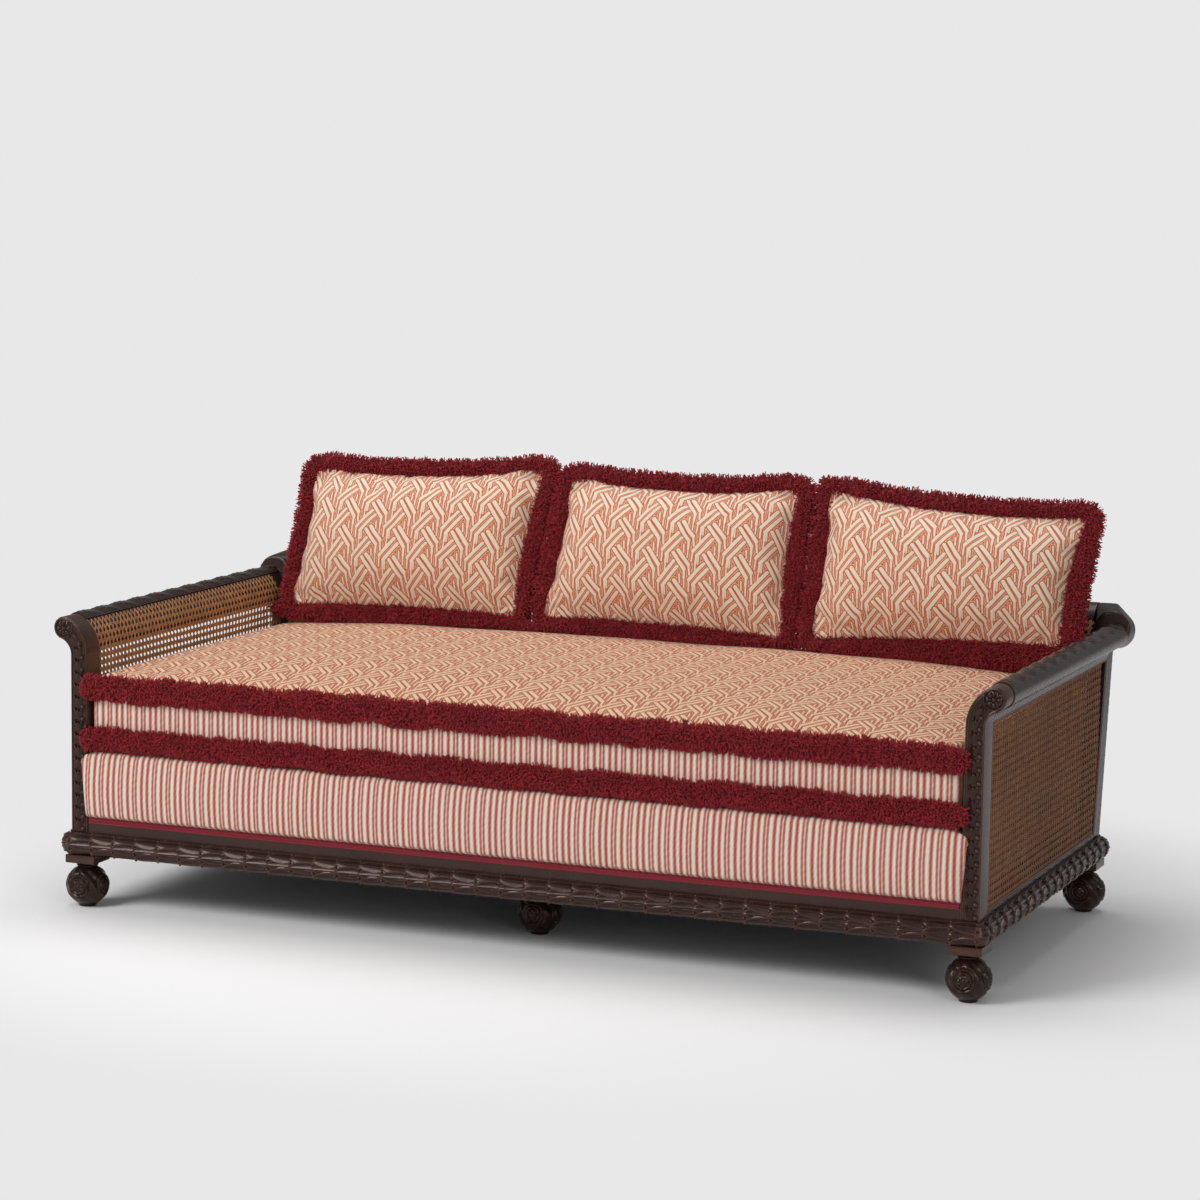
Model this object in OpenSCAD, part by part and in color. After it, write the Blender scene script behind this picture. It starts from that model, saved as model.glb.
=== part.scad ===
// Cane-sided sofa with a sprung base, a loose mattress seat and three loose back cushions.
// X runs along the sofa, Y from the front to the back, Z up from the floor.

/* [Base frame] */
// Distance between the end feet, centre to centre
foot_span = 2000; // [1700:10:2300]
// Distance from the front feet to the rear feet, centre to centre
foot_depth = 900; // [820:10:980]
// How far the frame's faces stand outside the foot centres
overhang = 25; // [22:1:32]
// Height of the base rails
rail_h = 50; // [44:1:60]
// Thickness of the base rails, front to back
rail_w = 70; // [64:1:80]
// How far the carved moulding stands out from the base rails
moulding_d = 22; // [14:1:28]
// Height of the fascia rail over the moulding
fascia_h = 29; // [24:1:36]
// Thickness of the fascia rail
fascia_w = 40; // [32:1:44]
// Height of the bottom rail of each arm
arm_foot_h = 12; // [10:1:20]

/* [Feet] */
// Radius of the carved ball
ball_r = 46.5; // [40:0.5:50]
// Radius of the neck over the ball
neck_r = 19; // [15:1:24]
// Radius of the pad under the ball
pad_r = 19; // [16:1:24]
// Width of the square block over the neck
block_w = 70; // [58:1:80]
// Height of the square block
block_h = 19; // [14:1:24]
// Height of the neck with its ring
neck_h = 10; // [8:1:16]
// How far the middle feet stand inside the line of the corner feet
middle_inset = 178; // [120:2:240]

/* [Posts and arms] */
// Thickness of the posts and of the arm and back panels
panel_w = 40; // [36:1:48]
// Depth of the posts
post_d = 58; // [50:1:70]
// Straight height of the arm posts over the base rails
arm_straight = 389; // [350:1:430]
// Rise from there to the centre of the arm scroll
scroll_rise = 57; // [50:1:70]
// How far the scroll's centre stands outside the panel
scroll_out = 17; // [12:1:24]
// Radius of the scroll on the front posts
scroll_r = 25; // [20:1:30]
// Radius of the rolled arm rail
arm_roll_r = 27; // [22:1:32]
// Height of the arm rail's web, below the scroll's centre
web_drop = 53; // [46:1:62]

/* [Back] */
// Rake of the back from upright
rake = 9.8; // [4:0.2:14]
// Straight height of the back panel, along the rake
back_straight = 434; // [410:1:480]
// Radius of the rolled top rail
back_roll_r = 30; // [24:1:34]
// How far the centre of the top roll stands outside the panel
back_roll_out = 22; // [16:1:28]
// Height of the back's bottom rail
back_foot_h = 60; // [40:2:90]
// Width of the centre stile
stile_w = 40; // [30:1:60]
// Radius of the rolled head of the rear posts
head_r = 40; // [34:1:44]

/* [Cane] */
// Thickness of the woven cane sheets
cane_t = 1.6; // [1:0.1:2.5]
// How far the cane lies below the face of the wood
cane_sink = 2; // [1.5:0.1:3]
// Width of the reed spline round each outer sheet
spline_w = 4; // [3:0.5:6]

/* [Sprung base] */
// Height of the base's top over the base rails
sprung_h = 182; // [160:1:200]
// How far the base's front swells past the posts
sprung_proud = 12; // [6:1:16]
// Radius of the base's front top edge
sprung_edge_r = 22; // [14:1:30]
// Thickness of the hair pad over the springs
pad_t = 48; // [36:1:60]
// Depth of the padded front border
border_d = 78; // [60:1:90]
// Thickness of the striped cover
cover_t = 1.8; // [1.2:0.1:3]
// Height of the braid over the fascia
braid_h = 14; // [10:1:18]
// Number of coil springs along the sofa
springs_x = 7; // [4:1:7]
// Number of coil springs from front to back
springs_y = 3; // [2:1:3]
// Radius of a coil spring
spring_r = 42; // [30:1:50]
// Diameter of the spring wire
wire_d = 4; // [3:0.2:4.6]

/* [Mattress] */
// Height of the boxed side, seam to seam and edge to edge
mattress_h = 166; // [130:1:200]
// How high the top swells over its edge
crown = 33; // [15:1:45]
// Gap between the mattress and the posts
mattress_gap = 11; // [6:1:16]
// Height of the upper brush fringe
upper_fringe_h = 58; // [40:1:70]
// Height of the lower brush fringe
lower_fringe_h = 52; // [36:1:60]
// How far the mattress fringe stands out
fringe_d = 26; // [14:1:28]
// Wall of the cushion covers
case_t = 3; // [2:0.2:4]

/* [Back cushions] */
// Height of a back cushion's fabric, corner to corner
cushion_h = 350; // [300:5:420]
// Room left between the fringes of two back cushions
cushion_gap = 13; // [8:1:30]
// Distance from the end cushions' fabric to the arms, on average
cushion_end = 47.5; // [40:0.5:80]
// How far a cushion's front swells from its seam
swell_front = 70; // [50:1:80]
// How far a cushion's back swells from its seam
swell_back = 52; // [40:1:54]
// How far the edges draw in between the corners
draw_in = 12; // [6:1:18]
// Lean of the back cushions from upright
lean = 21; // [18:0.5:24]
// Width of the brush fringe at the top and the free ends
fringe_w = 44; // [30:1:46]
// Width of the brush fringe between two cushions
fringe_side_w = 31; // [20:1:32]
// Thickness of the brush fringe at its root
fringe_t = 14; // [10:1:18]

/* [Hidden] */
$fn = 48;

wood = "#3a211c";
carved = "#33201b";
cane_tan = "#9a6236";
crimson = "#7c1626";
rust_stripe = "#d8b7a0";
weave_cream = "#d9a98c";
hessian_tan = "#a58a62";
steel = "#8d9095";
black_cloth = "#26262a";
spline_brown = "#7a4c2a";

// Running clearances
soft_gap = 0.4;
fit_gap = 0.05;
far = 4000;

// Levels over the floor
foot_h = round(ball_r * 1.9) + neck_h + block_h;
base_top = foot_h + rail_h;
sprung_top = base_top + sprung_h;
mattress_z = sprung_top + soft_gap;
mattress_edge_z = mattress_z + mattress_h;

// Faces of the frame, from the middle of the sofa; the base stands evenly about Y = 0 here
half_x = foot_span / 2 + overhang;
half_y = foot_depth / 2 + overhang;
inner_x = half_x - panel_w;
post_back_y = -half_y + post_d;
back_face_y = half_y - post_d;
fascia_y = -half_y + 3;

// The rolled tops of the arm and back panels
arm_scroll = [panel_w + scroll_out, arm_straight + scroll_rise];
back_scroll = [panel_w + back_roll_out, back_straight + scroll_rise + 4];
web_z = arm_scroll[1] - web_drop;
lip_z = arm_scroll[1] - 6;
back_web_z = back_scroll[1] - web_drop - 6;
back_lip_z = back_scroll[1] - 10;

// How far pieces are drawn past the face that cuts them off
run_on = 80;
past_back_y = half_y + run_on;

// How far the rolled back reaches behind the feet, so that the origin lies under the middle
back_reach_y = back_face_y + back_scroll[0] * cos(rake) + back_scroll[1] * sin(rake) + back_roll_r;
front_reach_y = -half_y - moulding_d;
centre_y = (back_reach_y + front_reach_y) / 2;

// Bores and fasteners
bolt_r = 5;
bolt_l = 62;
dowel_r = 5;
dowel_l = 44;
// Two dowels under each post, each at its own distances from the frame's side and end faces
dowel_near = 13;
dowel_mid = 29;
dowel_deep = 43;
arm_dowel_rise = 18;
screw_r = 2.5;
screw_l = 66;
screw_head_r = 5;
screw_head_h = 3;
screw_sink = 30;
// Height between a corner's two screws, and their start inside the block's slope
screw_step = 8;
screw_start = 6;
block_leg = 80;

// Mattress outline and its top surface
mattress_half_x = inner_x - mattress_gap;
mattress_front_y = -half_y + 7;
mattress_rear_y = back_face_y + (sprung_h + 5) * tan(rake) - 5;
mattress_d = mattress_rear_y - mattress_front_y;
seam_drop = 13;
rear_drop = 0.35;

function mattress_front_swell(t) = t < 0.5 ? 1 - pow(1 - 2 * t, 3) : 1 - rear_drop * pow(2 * t - 1, 6);
function mattress_top(x, y) = mattress_edge_z
    + crown * (1 - pow(abs(x) / mattress_half_x, 4))
        * mattress_front_swell(min(1, max(0, (y - mattress_front_y) / mattress_d)));

// Width of a back cushion's fabric, corner to corner, and the distance from one to the next
cushion_w = (2 * (inner_x - cushion_end) - 2 * (2 * fringe_side_w + cushion_gap)) / 3;
cushion_pitch = cushion_w + 2 * fringe_side_w + cushion_gap;

// Line on the mattress where the back cushions' fringe stands, and its height over the middle
cushion_y = back_face_y - 16;
cushion_z = mattress_top(0, cushion_y) + soft_gap + fringe_t / 2 * sin(lean);

// How far each corner of a back cushion has settled from a true rectangle, as [along, up]:
// bottom left, bottom right, top right, top left
left_slump = [[-6, 0], [-8, 7], [8, 24], [6, -4]];
middle_slump = [[-9, 10], [0, -1], [-11, 8], [20, 7]];
right_slump = [[-4, 5], [-8, 25], [20, -20], [0, 12]];
seam_lift = 18;

// How far each cushion sinks from that height to the mattress, whose crown falls to both ends
settle = [1.4, 0.75, 1.4];
zip_w = 2.5;
cushions_mid_x = 8;

// Small helpers for outlines
function unit(v) = v / norm(v);
function between(a, b, t) = a + (b - a) * t;
function arc(c, r, a0, a1, n) =
    [for (i = [0:n]) let (a = a0 + (a1 - a0) * i / n) c + r * [cos(a), sin(a)]];

// A four-cornered outline with rounded corners, whose edges draw in between them
function soft_outline(c, draw, r, m) = [for (k = [0:3])
    let (p = c[k], q = c[(k + 3) % 4], s = c[(k + 1) % 4],
        a = p + unit(q - p) * r, b = p + unit(s - p) * r, e = s + unit(p - s) * r,
        inward = unit([p[1] - s[1], s[0] - p[0]]))
    each concat(
        [for (i = [0:2]) let (t = i / 2) (1 - t) * (1 - t) * a + 2 * t * (1 - t) * p + t * t * b],
        [for (i = [1:m]) let (t = i / (m + 1)) between(b, e, t) + inward * draw * 4 * t * (1 - t)])];

// A closed skin through rings of points, with a point that closes each end
module skin(rings, first, last) {
    n = len(rings[0]);
    count = len(rings);
    points = concat([for (r = rings) each r], [first, last]);
    polyhedron(points, concat(
        [for (i = [0:n - 1]) [n * count, i, (i + 1) % n]],
        [for (k = [0:count - 2], i = [0:n - 1], half = [0, 1])
            let (a = k * n + i, b = k * n + (i + 1) % n)
            half == 0 ? [a, b + n, b] : [a, a + n, b + n]],
        [for (i = [0:n - 1]) [n * count + 1, n * (count - 1) + (i + 1) % n, n * (count - 1) + i]]));
}

// Placing helpers
module centred() { translate([0, -centre_y, 0]) children(); }
module side(s) { if (s > 0) children(); else mirror([1, 0, 0]) children(); }

// A flat outline of distance outward and height, stood up between two places along Y
module arm_section(y0, y1) {
    translate([inner_x, y1, base_top]) rotate([90, 0, 0]) linear_extrude(y1 - y0) children();
}

// The same outline in the raked back, run along X
module back_section(x0, x1) {
    raked() translate([x0, 0, 0]) rotate([90, 0, 90]) linear_extrude(x1 - x0) children();
}

// The back's own frame: Y outward from its inner face, Z up along the rake
module raked() {
    translate([0, back_face_y, base_top]) rotate([-rake, 0, 0]) children();
}

// Everything behind the rear posts' front face
module behind_posts() {
    raked() translate([-far / 2, 0, -far / 4]) cube([far, far / 2, far / 2]);
}

// Outline of a panel that is straight up to a height and rolls outward into a scroll
module rolled_outline(straight, centre, r) {
    ds = centre[0] - panel_w;
    dz = centre[1] - straight;
    out_r = (ds * ds + dz * dz - r * r) / (2 * (r + ds));
    in_r = (centre[0] * centre[0] + dz * dz - r * r) / (2 * (centre[0] - r));
    out_c = [panel_w + out_r, straight];
    in_c = [in_r, straight];
    out_a = atan2(centre[1] - out_c[1], centre[0] - out_c[0]);
    in_a = atan2(centre[1] - in_c[1], centre[0] - in_c[0]);
    polygon(concat([[0, 0], [panel_w, 0]],
        arc(out_c, out_r, 180, out_a, 6),
        arc(centre, r, out_a - 180, in_a, 16),
        arc(in_c, in_r, in_a, 180, 8)));
}

module band(z0, z1) { translate([-far / 2, z0]) square([far, z1 - z0]); }

// Section of a top rail: the rolled outline over its web, set back where the inner cane lies
module rail_outline(straight, centre, r, web, lip) {
    intersection() {
        rolled_outline(straight, centre, r);
        band(web, far);
        union() {
            band(lip, far);
            translate([cane_sink + cane_t + soft_gap, 0]) rolled_outline(straight, centre, r);
        }
    }
}

// Section of the inner cane, which follows the rolled inner face up to the rail's lip
module inner_cane_outline(straight, centre, r, foot, lip) {
    intersection() {
        difference() {
            translate([cane_sink, 0]) rolled_outline(straight, centre, r);
            translate([cane_sink + cane_t, 0]) rolled_outline(straight, centre, r);
        }
        band(foot, lip);
    }
}

// Bores that two pieces share, so that each side cuts the same ones
module dowel_holes(gap = fit_gap) {
    r = dowel_r + gap;
    l = dowel_l + 2 * gap;
    for (sx = [-1, 1]) {
        for (sy = [-1, 1], p = [[dowel_near, dowel_deep], [dowel_mid, dowel_near]])
            translate([sx * (half_x - p[0]), sy * (half_y - p[1]), base_top - l / 2]) cylinder(r = r, h = l);
        translate([sx * (inner_x + l / 2), fascia_y + fascia_w / 2, base_top + fascia_h / 2])
            rotate([0, -sx * 90, 0]) cylinder(r = r, h = l);
        translate([sx * (inner_x + panel_w / 2 + dowel_r), post_back_y - l / 2,
                base_top + web_z + arm_dowel_rise])
            rotate([-90, 0, 0]) cylinder(r = r, h = l);
    }
}

foot_places = [[-foot_span / 2, -foot_depth / 2], [0, -foot_depth / 2 + middle_inset],
    [foot_span / 2, -foot_depth / 2], [-foot_span / 2, foot_depth / 2],
    [0, foot_depth / 2 - middle_inset], [foot_span / 2, foot_depth / 2]];

module bolt_holes(gap = fit_gap) {
    for (p = foot_places)
        translate([p[0], p[1], foot_h - bolt_l / 2 - gap]) cylinder(r = bolt_r + gap, h = bolt_l + 2 * gap);
}

// One corner's two screws: one into the long rail, one into the side rail
module corner_screw_pair(gap) {
    x = half_x - rail_w - block_leg / 2;
    y = half_y - rail_w - block_leg / 2;
    z = base_top - rail_h / 2;
    head = screw_head_r + gap;
    for (turn = [0, 1], sx = [-1, 1], sy = [-1, 1]) {
        at = turn == 0 ? [x, y + screw_start] : [x + screw_start, y];
        dz = turn == 0 ? -screw_step : screw_step;
        translate([sx * at[0], sy * at[1], z + dz])
            rotate(turn == 0 ? [-sy * 90, 0, 0] : [0, sx * 90, 0]) {
                cylinder(r = screw_r + gap, h = screw_l + gap);
                h = gap > 0 ? screw_sink : screw_head_h;
                translate([0, 0, -h]) cylinder(r = head, h = h);
            }
    }
}

module long_base_rail(sy) {
    color(wood) centred() difference() {
        translate([-half_x, sy > 0 ? half_y - rail_w : -half_y, foot_h]) cube([2 * half_x, rail_w, rail_h]);
        bolt_holes();
        dowel_holes();
        corner_screw_pair(fit_gap);
    }
}

module side_base_rail(s) {
    color(wood) centred() difference() {
        side(s) translate([half_x - rail_w, -half_y + rail_w, foot_h])
            cube([rail_w, 2 * (half_y - rail_w), rail_h]);
        corner_screw_pair(fit_gap);
    }
}

module centre_bearer() {
    color(wood) centred() difference() {
        translate([-rail_w / 2, -half_y + rail_w, foot_h])
            cube([rail_w, 2 * (half_y - rail_w), rail_h * 0.6]);
        bolt_holes();
    }
}

// Half-round moulding, mitred at its ends
module moulding(length) {
    out = [for (i = [0:12]) let (a = -90 + 15 * i) [moulding_d * cos(a), rail_h / 2 * (1 + sin(a))]];
    color(carved) difference() {
        translate([-length / 2 - moulding_d, 0, foot_h]) rotate([90, 0, 90])
            linear_extrude(length + 2 * moulding_d) polygon(out);
        for (flip = [0, 1])
            mirror([flip, 0, 0]) translate([length / 2, 0, foot_h - 1]) rotate([0, 0, -45])
                cube([far / 4, far / 4, rail_h + 2]);
    }
}

module front_moulding() { centred() translate([0, -half_y, 0]) mirror([0, 1, 0]) moulding(2 * half_x); }
module rear_moulding() { centred() translate([0, half_y, 0]) moulding(2 * half_x); }
module side_moulding(s) {
    centred() side(s) translate([half_x, 0, 0]) rotate([0, 0, -90]) moulding(2 * half_y);
}

module corner_blocks() {
    color(wood) centred() difference() {
        for (sx = [0, 1], sy = [0, 1])
            mirror([sx, 0, 0]) mirror([0, sy, 0])
                translate([half_x - rail_w, half_y - rail_w, foot_h + 4]) linear_extrude(rail_h - 8)
                    polygon([[0, 0], [-block_leg, 0], [0, -block_leg]]);
        corner_screw_pair(fit_gap);
    }
}

module corner_screws() { color(steel) centred() corner_screw_pair(0); }

// A turned foot: pad, ball, ring and neck, under a square block
module foot(place) {
    ball_z = ball_r;
    base_a = -asin(sqrt(1 - pow(pad_r / ball_r, 2)));
    top_a = asin(sqrt(1 - pow(neck_r / ball_r, 2)));
    neck_z = foot_h - block_h - neck_h;
    profile = concat([[0, 0], [pad_r, 0]],
        arc([0, ball_z], ball_r, base_a, top_a, 20),
        [[neck_r, neck_z], [neck_r + 5, neck_z + neck_h * 0.3], [neck_r + 5, neck_z + neck_h * 0.7],
            [neck_r + 1, foot_h - block_h], [neck_r + 1, foot_h - block_h + 1], [0, foot_h - block_h + 1]]);
    color(carved) centred() difference() {
        translate([place[0], place[1], 0]) {
            rotate_extrude() polygon(profile);
            translate([-block_w / 2, -block_w / 2, foot_h - block_h]) cube([block_w, block_w, block_h]);
        }
        bolt_holes();
    }
}

module foot_bolts() { color(steel) centred() bolt_holes(0); }

module fascia_rail() {
    color(wood) centred() difference() {
        translate([-inner_x, fascia_y, base_top]) cube([2 * inner_x, fascia_w, fascia_h]);
        dowel_holes();
    }
}

module front_post(s) {
    color(wood) centred() difference() {
        side(s) arm_section(-half_y, post_back_y) rolled_outline(arm_straight, arm_scroll, scroll_r);
        dowel_holes();
    }
}

// Raked post; its head gathers the arm's roll and the back's roll
module rear_post(s) {
    head_z = back_scroll[1] - head_r * 0.75;
    color(wood) centred() difference() {
        union() {
            side(s) raked() translate([inner_x, 0, -post_d]) cube([panel_w, post_d, head_z + post_d]);
            side(s) raked() hull() {
                translate([inner_x + panel_w + 7, post_d, head_z]) rotate([90, 0, 0])
                    cylinder(r = head_r, h = post_d, $fn = 32);
                translate([inner_x, back_scroll[0], back_scroll[1]]) rotate([0, 90, 0])
                    cylinder(r = back_roll_r, h = panel_w, $fn = 32);
            }
        }
        translate([-far / 2, -far / 2, base_top - far]) cube([far, far, far]);
        dowel_holes();
    }
}

module arm_rail(s) {
    color(carved) centred() difference() {
        side(s) arm_section(post_back_y, past_back_y)
            rail_outline(arm_straight, arm_scroll, arm_roll_r, web_z, lip_z);
        behind_posts();
        dowel_holes();
    }
}

module arm_foot_rail(s) {
    color(wood) centred() difference() {
        side(s) arm_section(post_back_y, past_back_y) square([panel_w, arm_foot_h]);
        behind_posts();
    }
}

module inner_cane(s) {
    color(cane_tan) centred() difference() {
        side(s) arm_section(post_back_y, past_back_y)
            inner_cane_outline(arm_straight, arm_scroll, arm_roll_r, arm_foot_h, lip_z);
        behind_posts();
    }
}

module outer_sheet(t0, t1, z0, z1) {
    translate([panel_w - t0, z0]) square([t0 - t1, z1 - z0]);
}

module outer_cane(s) {
    color(cane_tan) centred() difference() {
        side(s) arm_section(post_back_y, past_back_y)
            outer_sheet(cane_sink + cane_t, cane_sink, arm_foot_h, web_z);
        behind_posts();
    }
}

module arm_cane_splines() {
    color(spline_brown) centred() for (s = [-1, 1]) {
        difference() {
            side(s) arm_section(post_back_y, past_back_y) {
                outer_sheet(cane_sink, 0, arm_foot_h, arm_foot_h + spline_w);
                outer_sheet(cane_sink, 0, web_z - spline_w, web_z);
            }
            behind_posts();
        }
        side(s) arm_section(post_back_y, post_back_y + spline_w)
            outer_sheet(cane_sink, 0, arm_foot_h, web_z);
        intersection() {
            side(s) arm_section(post_back_y, past_back_y) outer_sheet(cane_sink, 0, arm_foot_h, web_z);
            raked() translate([-far / 2, -spline_w, -far / 4]) cube([far, spline_w, far / 2]);
        }
    }
}

module back_top_rail() {
    color(wood) centred() back_section(-inner_x, inner_x)
        rail_outline(back_straight, back_scroll, back_roll_r, back_web_z, back_lip_z);
}

// Stands on the rear base rail, so its lower edge is cut level
module back_foot_rail() {
    color(wood) centred() difference() {
        back_section(-inner_x, inner_x) translate([0, -run_on]) square([panel_w, back_foot_h + run_on]);
        translate([-far / 2, -far / 2, base_top - far]) cube([far, far, far]);
    }
}

module back_centre_stile() {
    color(wood) centred() back_section(-stile_w / 2, stile_w / 2)
        intersection() {
            translate([cane_sink + cane_t + soft_gap, back_foot_h])
                square([panel_w - 2 * (cane_sink + cane_t) - soft_gap, back_web_z - back_foot_h]);
            rolled_outline(back_straight, back_scroll, back_roll_r);
        }
}

module back_inner_cane() {
    color(cane_tan) centred() back_section(-inner_x, inner_x)
        inner_cane_outline(back_straight, back_scroll, back_roll_r, back_foot_h, back_lip_z);
}

module back_outer_cane() {
    color(cane_tan) centred() back_section(-inner_x, inner_x)
        outer_sheet(cane_sink + cane_t, cane_sink, back_foot_h, back_web_z);
}

module back_cane_splines() {
    color(spline_brown) centred() {
        back_section(-inner_x, inner_x) {
            outer_sheet(cane_sink, 0, back_foot_h, back_foot_h + spline_w);
            outer_sheet(cane_sink, 0, back_web_z - spline_w, back_web_z);
        }
        for (x = [-inner_x, -stile_w / 2, stile_w / 2 - spline_w, inner_x - spline_w])
            back_section(x, x + spline_w) outer_sheet(cane_sink, 0, back_foot_h, back_web_z);
    }
}

module frame_dowels() { color("#b08b5a") centred() dowel_holes(0); }

web_t = 1.5;
web_strip = 50;
web_fold = 24;
webs_x = 9;
webs_y = 5;

// Distance between strips that share a width evenly, with half a space outside the end ones
function web_pitch(width, count) = width / (count + 0.3);

// Two layers of webbing; the upper layer's ends are folded double where they are tacked
module webbing() {
    front_y = -half_y + fascia_w + 5;
    rear_y = back_face_y - 3;
    reach_x = inner_x - 3;
    pitch_x = web_pitch(2 * reach_x, webs_x);
    pitch_y = web_pitch(rear_y - front_y, webs_y);
    color(hessian_tan) centred() {
        for (i = [0:webs_x - 1])
            translate([(i - (webs_x - 1) / 2) * pitch_x - web_strip / 2, front_y, base_top])
                cube([web_strip, rear_y - front_y, web_t]);
        for (j = [0:webs_y - 1])
            translate([0, (front_y + rear_y) / 2 + (j - (webs_y - 1) / 2) * pitch_y, base_top]) {
                translate([-reach_x, -web_strip / 2, web_t]) cube([2 * reach_x, web_strip, web_t]);
                for (s = [-1, 1])
                    translate([s * (reach_x - web_fold / 2) - web_fold / 2, -web_strip / 2, 0])
                        cube([web_fold, web_strip, web_t]);
            }
    }
}

spring_z = base_top + 2 * web_t;
hessian_z = sprung_top - pad_t - web_t;
spring_turns = 4;
spring_pitch_y = 240;
springs_mid_y = 20;
// Distance of the coil's first and last turn from the webbing and the hessian
spring_gap = 0.3;

// A coil from a low ring to a high ring, waisted between them
module coil_spring() {
    rise = hessian_z - spring_z - wire_d - 2 * spring_gap;
    steps = spring_turns * 8;
    r = wire_d / 2;
    function coil_at(i) = let (t = i / steps, w = spring_r * (0.78 + 0.22 * pow(2 * t - 1, 2)))
        [w * cos(i * 45), w * sin(i * 45), r + spring_gap + rise * (t - sin(720 * t) / 30)];
    rings = [for (i = [0:steps]) let (c = coil_at(i), out = [cos(i * 45), sin(i * 45), 0])
        [for (k = [0:3]) c + r * (out * cos(90 * k) - [0, 0, 1] * sin(90 * k))]];
    skin(rings, coil_at(0), coil_at(steps));
}

module coil_springs() {
    color(steel) centred()
        for (i = [0:springs_x - 1], j = [0:springs_y - 1])
            translate([(i - (springs_x - 1) / 2) * 2 * inner_x / springs_x,
                    (j - (springs_y - 1) / 2) * spring_pitch_y + springs_mid_y, spring_z]) coil_spring();
}

module spring_hessian() {
    color(hessian_tan) centred()
        translate([-inner_x + 3, -half_y + border_d + 8, hessian_z])
            cube([2 * inner_x - 6, half_y - border_d - 8 + back_face_y - 4, web_t - 0.2]);
}

module dust_cloth() {
    t = 1.2;
    edge = 12;
    hole = block_w + 4;
    color(black_cloth) centred() difference() {
        translate([-half_x + edge, -half_y + edge, foot_h - t])
            cube([2 * (half_x - edge), 2 * (half_y - edge), t]);
        for (p = foot_places)
            translate([p[0] - hole / 2, p[1] - hole / 2, foot_h - 2 * t]) cube([hole, hole, 3 * t]);
    }
}

// Section of the sprung base from front to back: a swelling front border under a level top
function base_section(inset) =
    let (front = -half_y - sprung_proud + inset, top = sprung_top - inset, low = base_top + fascia_h,
        notch = fascia_y + inset, r = sprung_edge_r, knee = low + braid_h / 2 + 1,
        swell = [for (i = [0:8]) let (t = i / 8) [front - 5 * sin(180 * t), between(knee + 6, top - r, t)]])
    concat([[notch, low], [notch, knee]], swell, arc([front + r, top - r], r, 180, 90, 6));

// How far back the pad and its cover reach, short of the raked back
base_rear_y = back_face_y + (pad_t + 20) * tan(rake);

module sprung_base_pad() {
    half = inner_x - 4;
    inset = cover_t + 0.2;
    border_y = -half_y + border_d;
    low = base_top + fascia_h;
    color("#cdbfa6") centred() translate([-half, 0, 0]) rotate([90, 0, 90]) linear_extrude(2 * half)
        polygon(concat(base_section(inset), [[base_rear_y, sprung_top - inset],
            [base_rear_y, hessian_z + web_t], [border_y, hessian_z + web_t], [border_y, low + 1],
            [fascia_y + fascia_w, low + 1], [fascia_y + fascia_w, low]]));
}

module sprung_base_cover() {
    half = inner_x - 1.5;
    border_y = -half_y + border_d + 1;
    color(rust_stripe) centred() difference() {
        translate([-half, 0, 0]) rotate([90, 0, 90]) linear_extrude(2 * half)
            polygon(concat(base_section(0), [[base_rear_y, sprung_top], [base_rear_y, hessian_z + web_t],
                [border_y, hessian_z + web_t], [border_y, base_top + fascia_h]]));
        translate([-half + cover_t, 0, 0]) rotate([90, 0, 90]) linear_extrude(2 * (half - cover_t))
            polygon(concat([[fascia_y + cover_t, base_top - 1]],
                base_section(cover_t), [[base_rear_y + 1, sprung_top - cover_t],
                    [base_rear_y + 1, base_top - 1]]));
    }
}

module fascia_braid() {
    color(crimson) centred()
        translate([-inner_x + 0.5, fascia_y - 3.6, base_top + fascia_h - braid_h / 2])
            cube([2 * inner_x - 1, 3.4, braid_h]);
}

// Rings of the mattress, bottom to top; share shrinks them all towards the middle
function mattress_rings(m, inset) =
    let (hx = mattress_half_x - inset, y0 = mattress_front_y + inset, y1 = mattress_rear_y - inset,
        mid = [0, (y0 + y1) / 2], z0 = mattress_z + inset, seam = mattress_edge_z - seam_drop - inset,
        edge = soft_outline([[-hx, y0], [hx, y0], [hx, y1], [-hx, y1]], 3, 24, m))
    concat(
        [for (lv = [[0.994, z0], [1, z0 + 22], [0.995, between(z0, seam, 0.55)], [1, seam]])
            [for (p = edge) let (q = between(mid, p, lv[0])) [q[0], q[1], lv[1]]]],
        [for (k = [0.985, 0.93, 0.82, 0.62, 0.36])
            [for (p = edge) let (q = between(mid, p, k)) [q[0], q[1], mattress_top(q[0], q[1]) - inset]]]);

module mattress_solid(m, inset) {
    mid_y = (mattress_front_y + mattress_rear_y) / 2;
    skin(mattress_rings(m, inset), [0, mid_y, mattress_z + inset],
        [0, mid_y, mattress_top(0, mid_y) - inset]);
}

module mattress_core() { color("#e6dcc8") centred() mattress_solid(5, case_t + soft_gap); }

// A zip opening runs along the rear seam of the cover
module mattress_case() {
    color(weave_cream) centred() difference() {
        mattress_solid(11, 0);
        mattress_solid(5, case_t);
        translate([-mattress_half_x * 0.6, mattress_rear_y - 2 * case_t - 6, mattress_edge_z - 2 * seam_drop])
            cube([mattress_half_x * 1.2, 2 * case_t + 12, zip_w]);
    }
}

// Brush fringe along the front of the mattress, rounded at its ends
module mattress_fringe(z0, h) {
    half = mattress_half_x + 4;
    r = fringe_d * 0.8;
    root = mattress_front_y - soft_gap;
    outer = root - fringe_d;
    color(crimson) centred() translate([0, 0, z0]) linear_extrude(h)
        polygon(concat([[half, root]], arc([half - r, outer + r], r, 0, -90, 5),
            arc([-half + r, outer + r], r, -90, -180, 5), [[-half, root]]));
}

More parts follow.
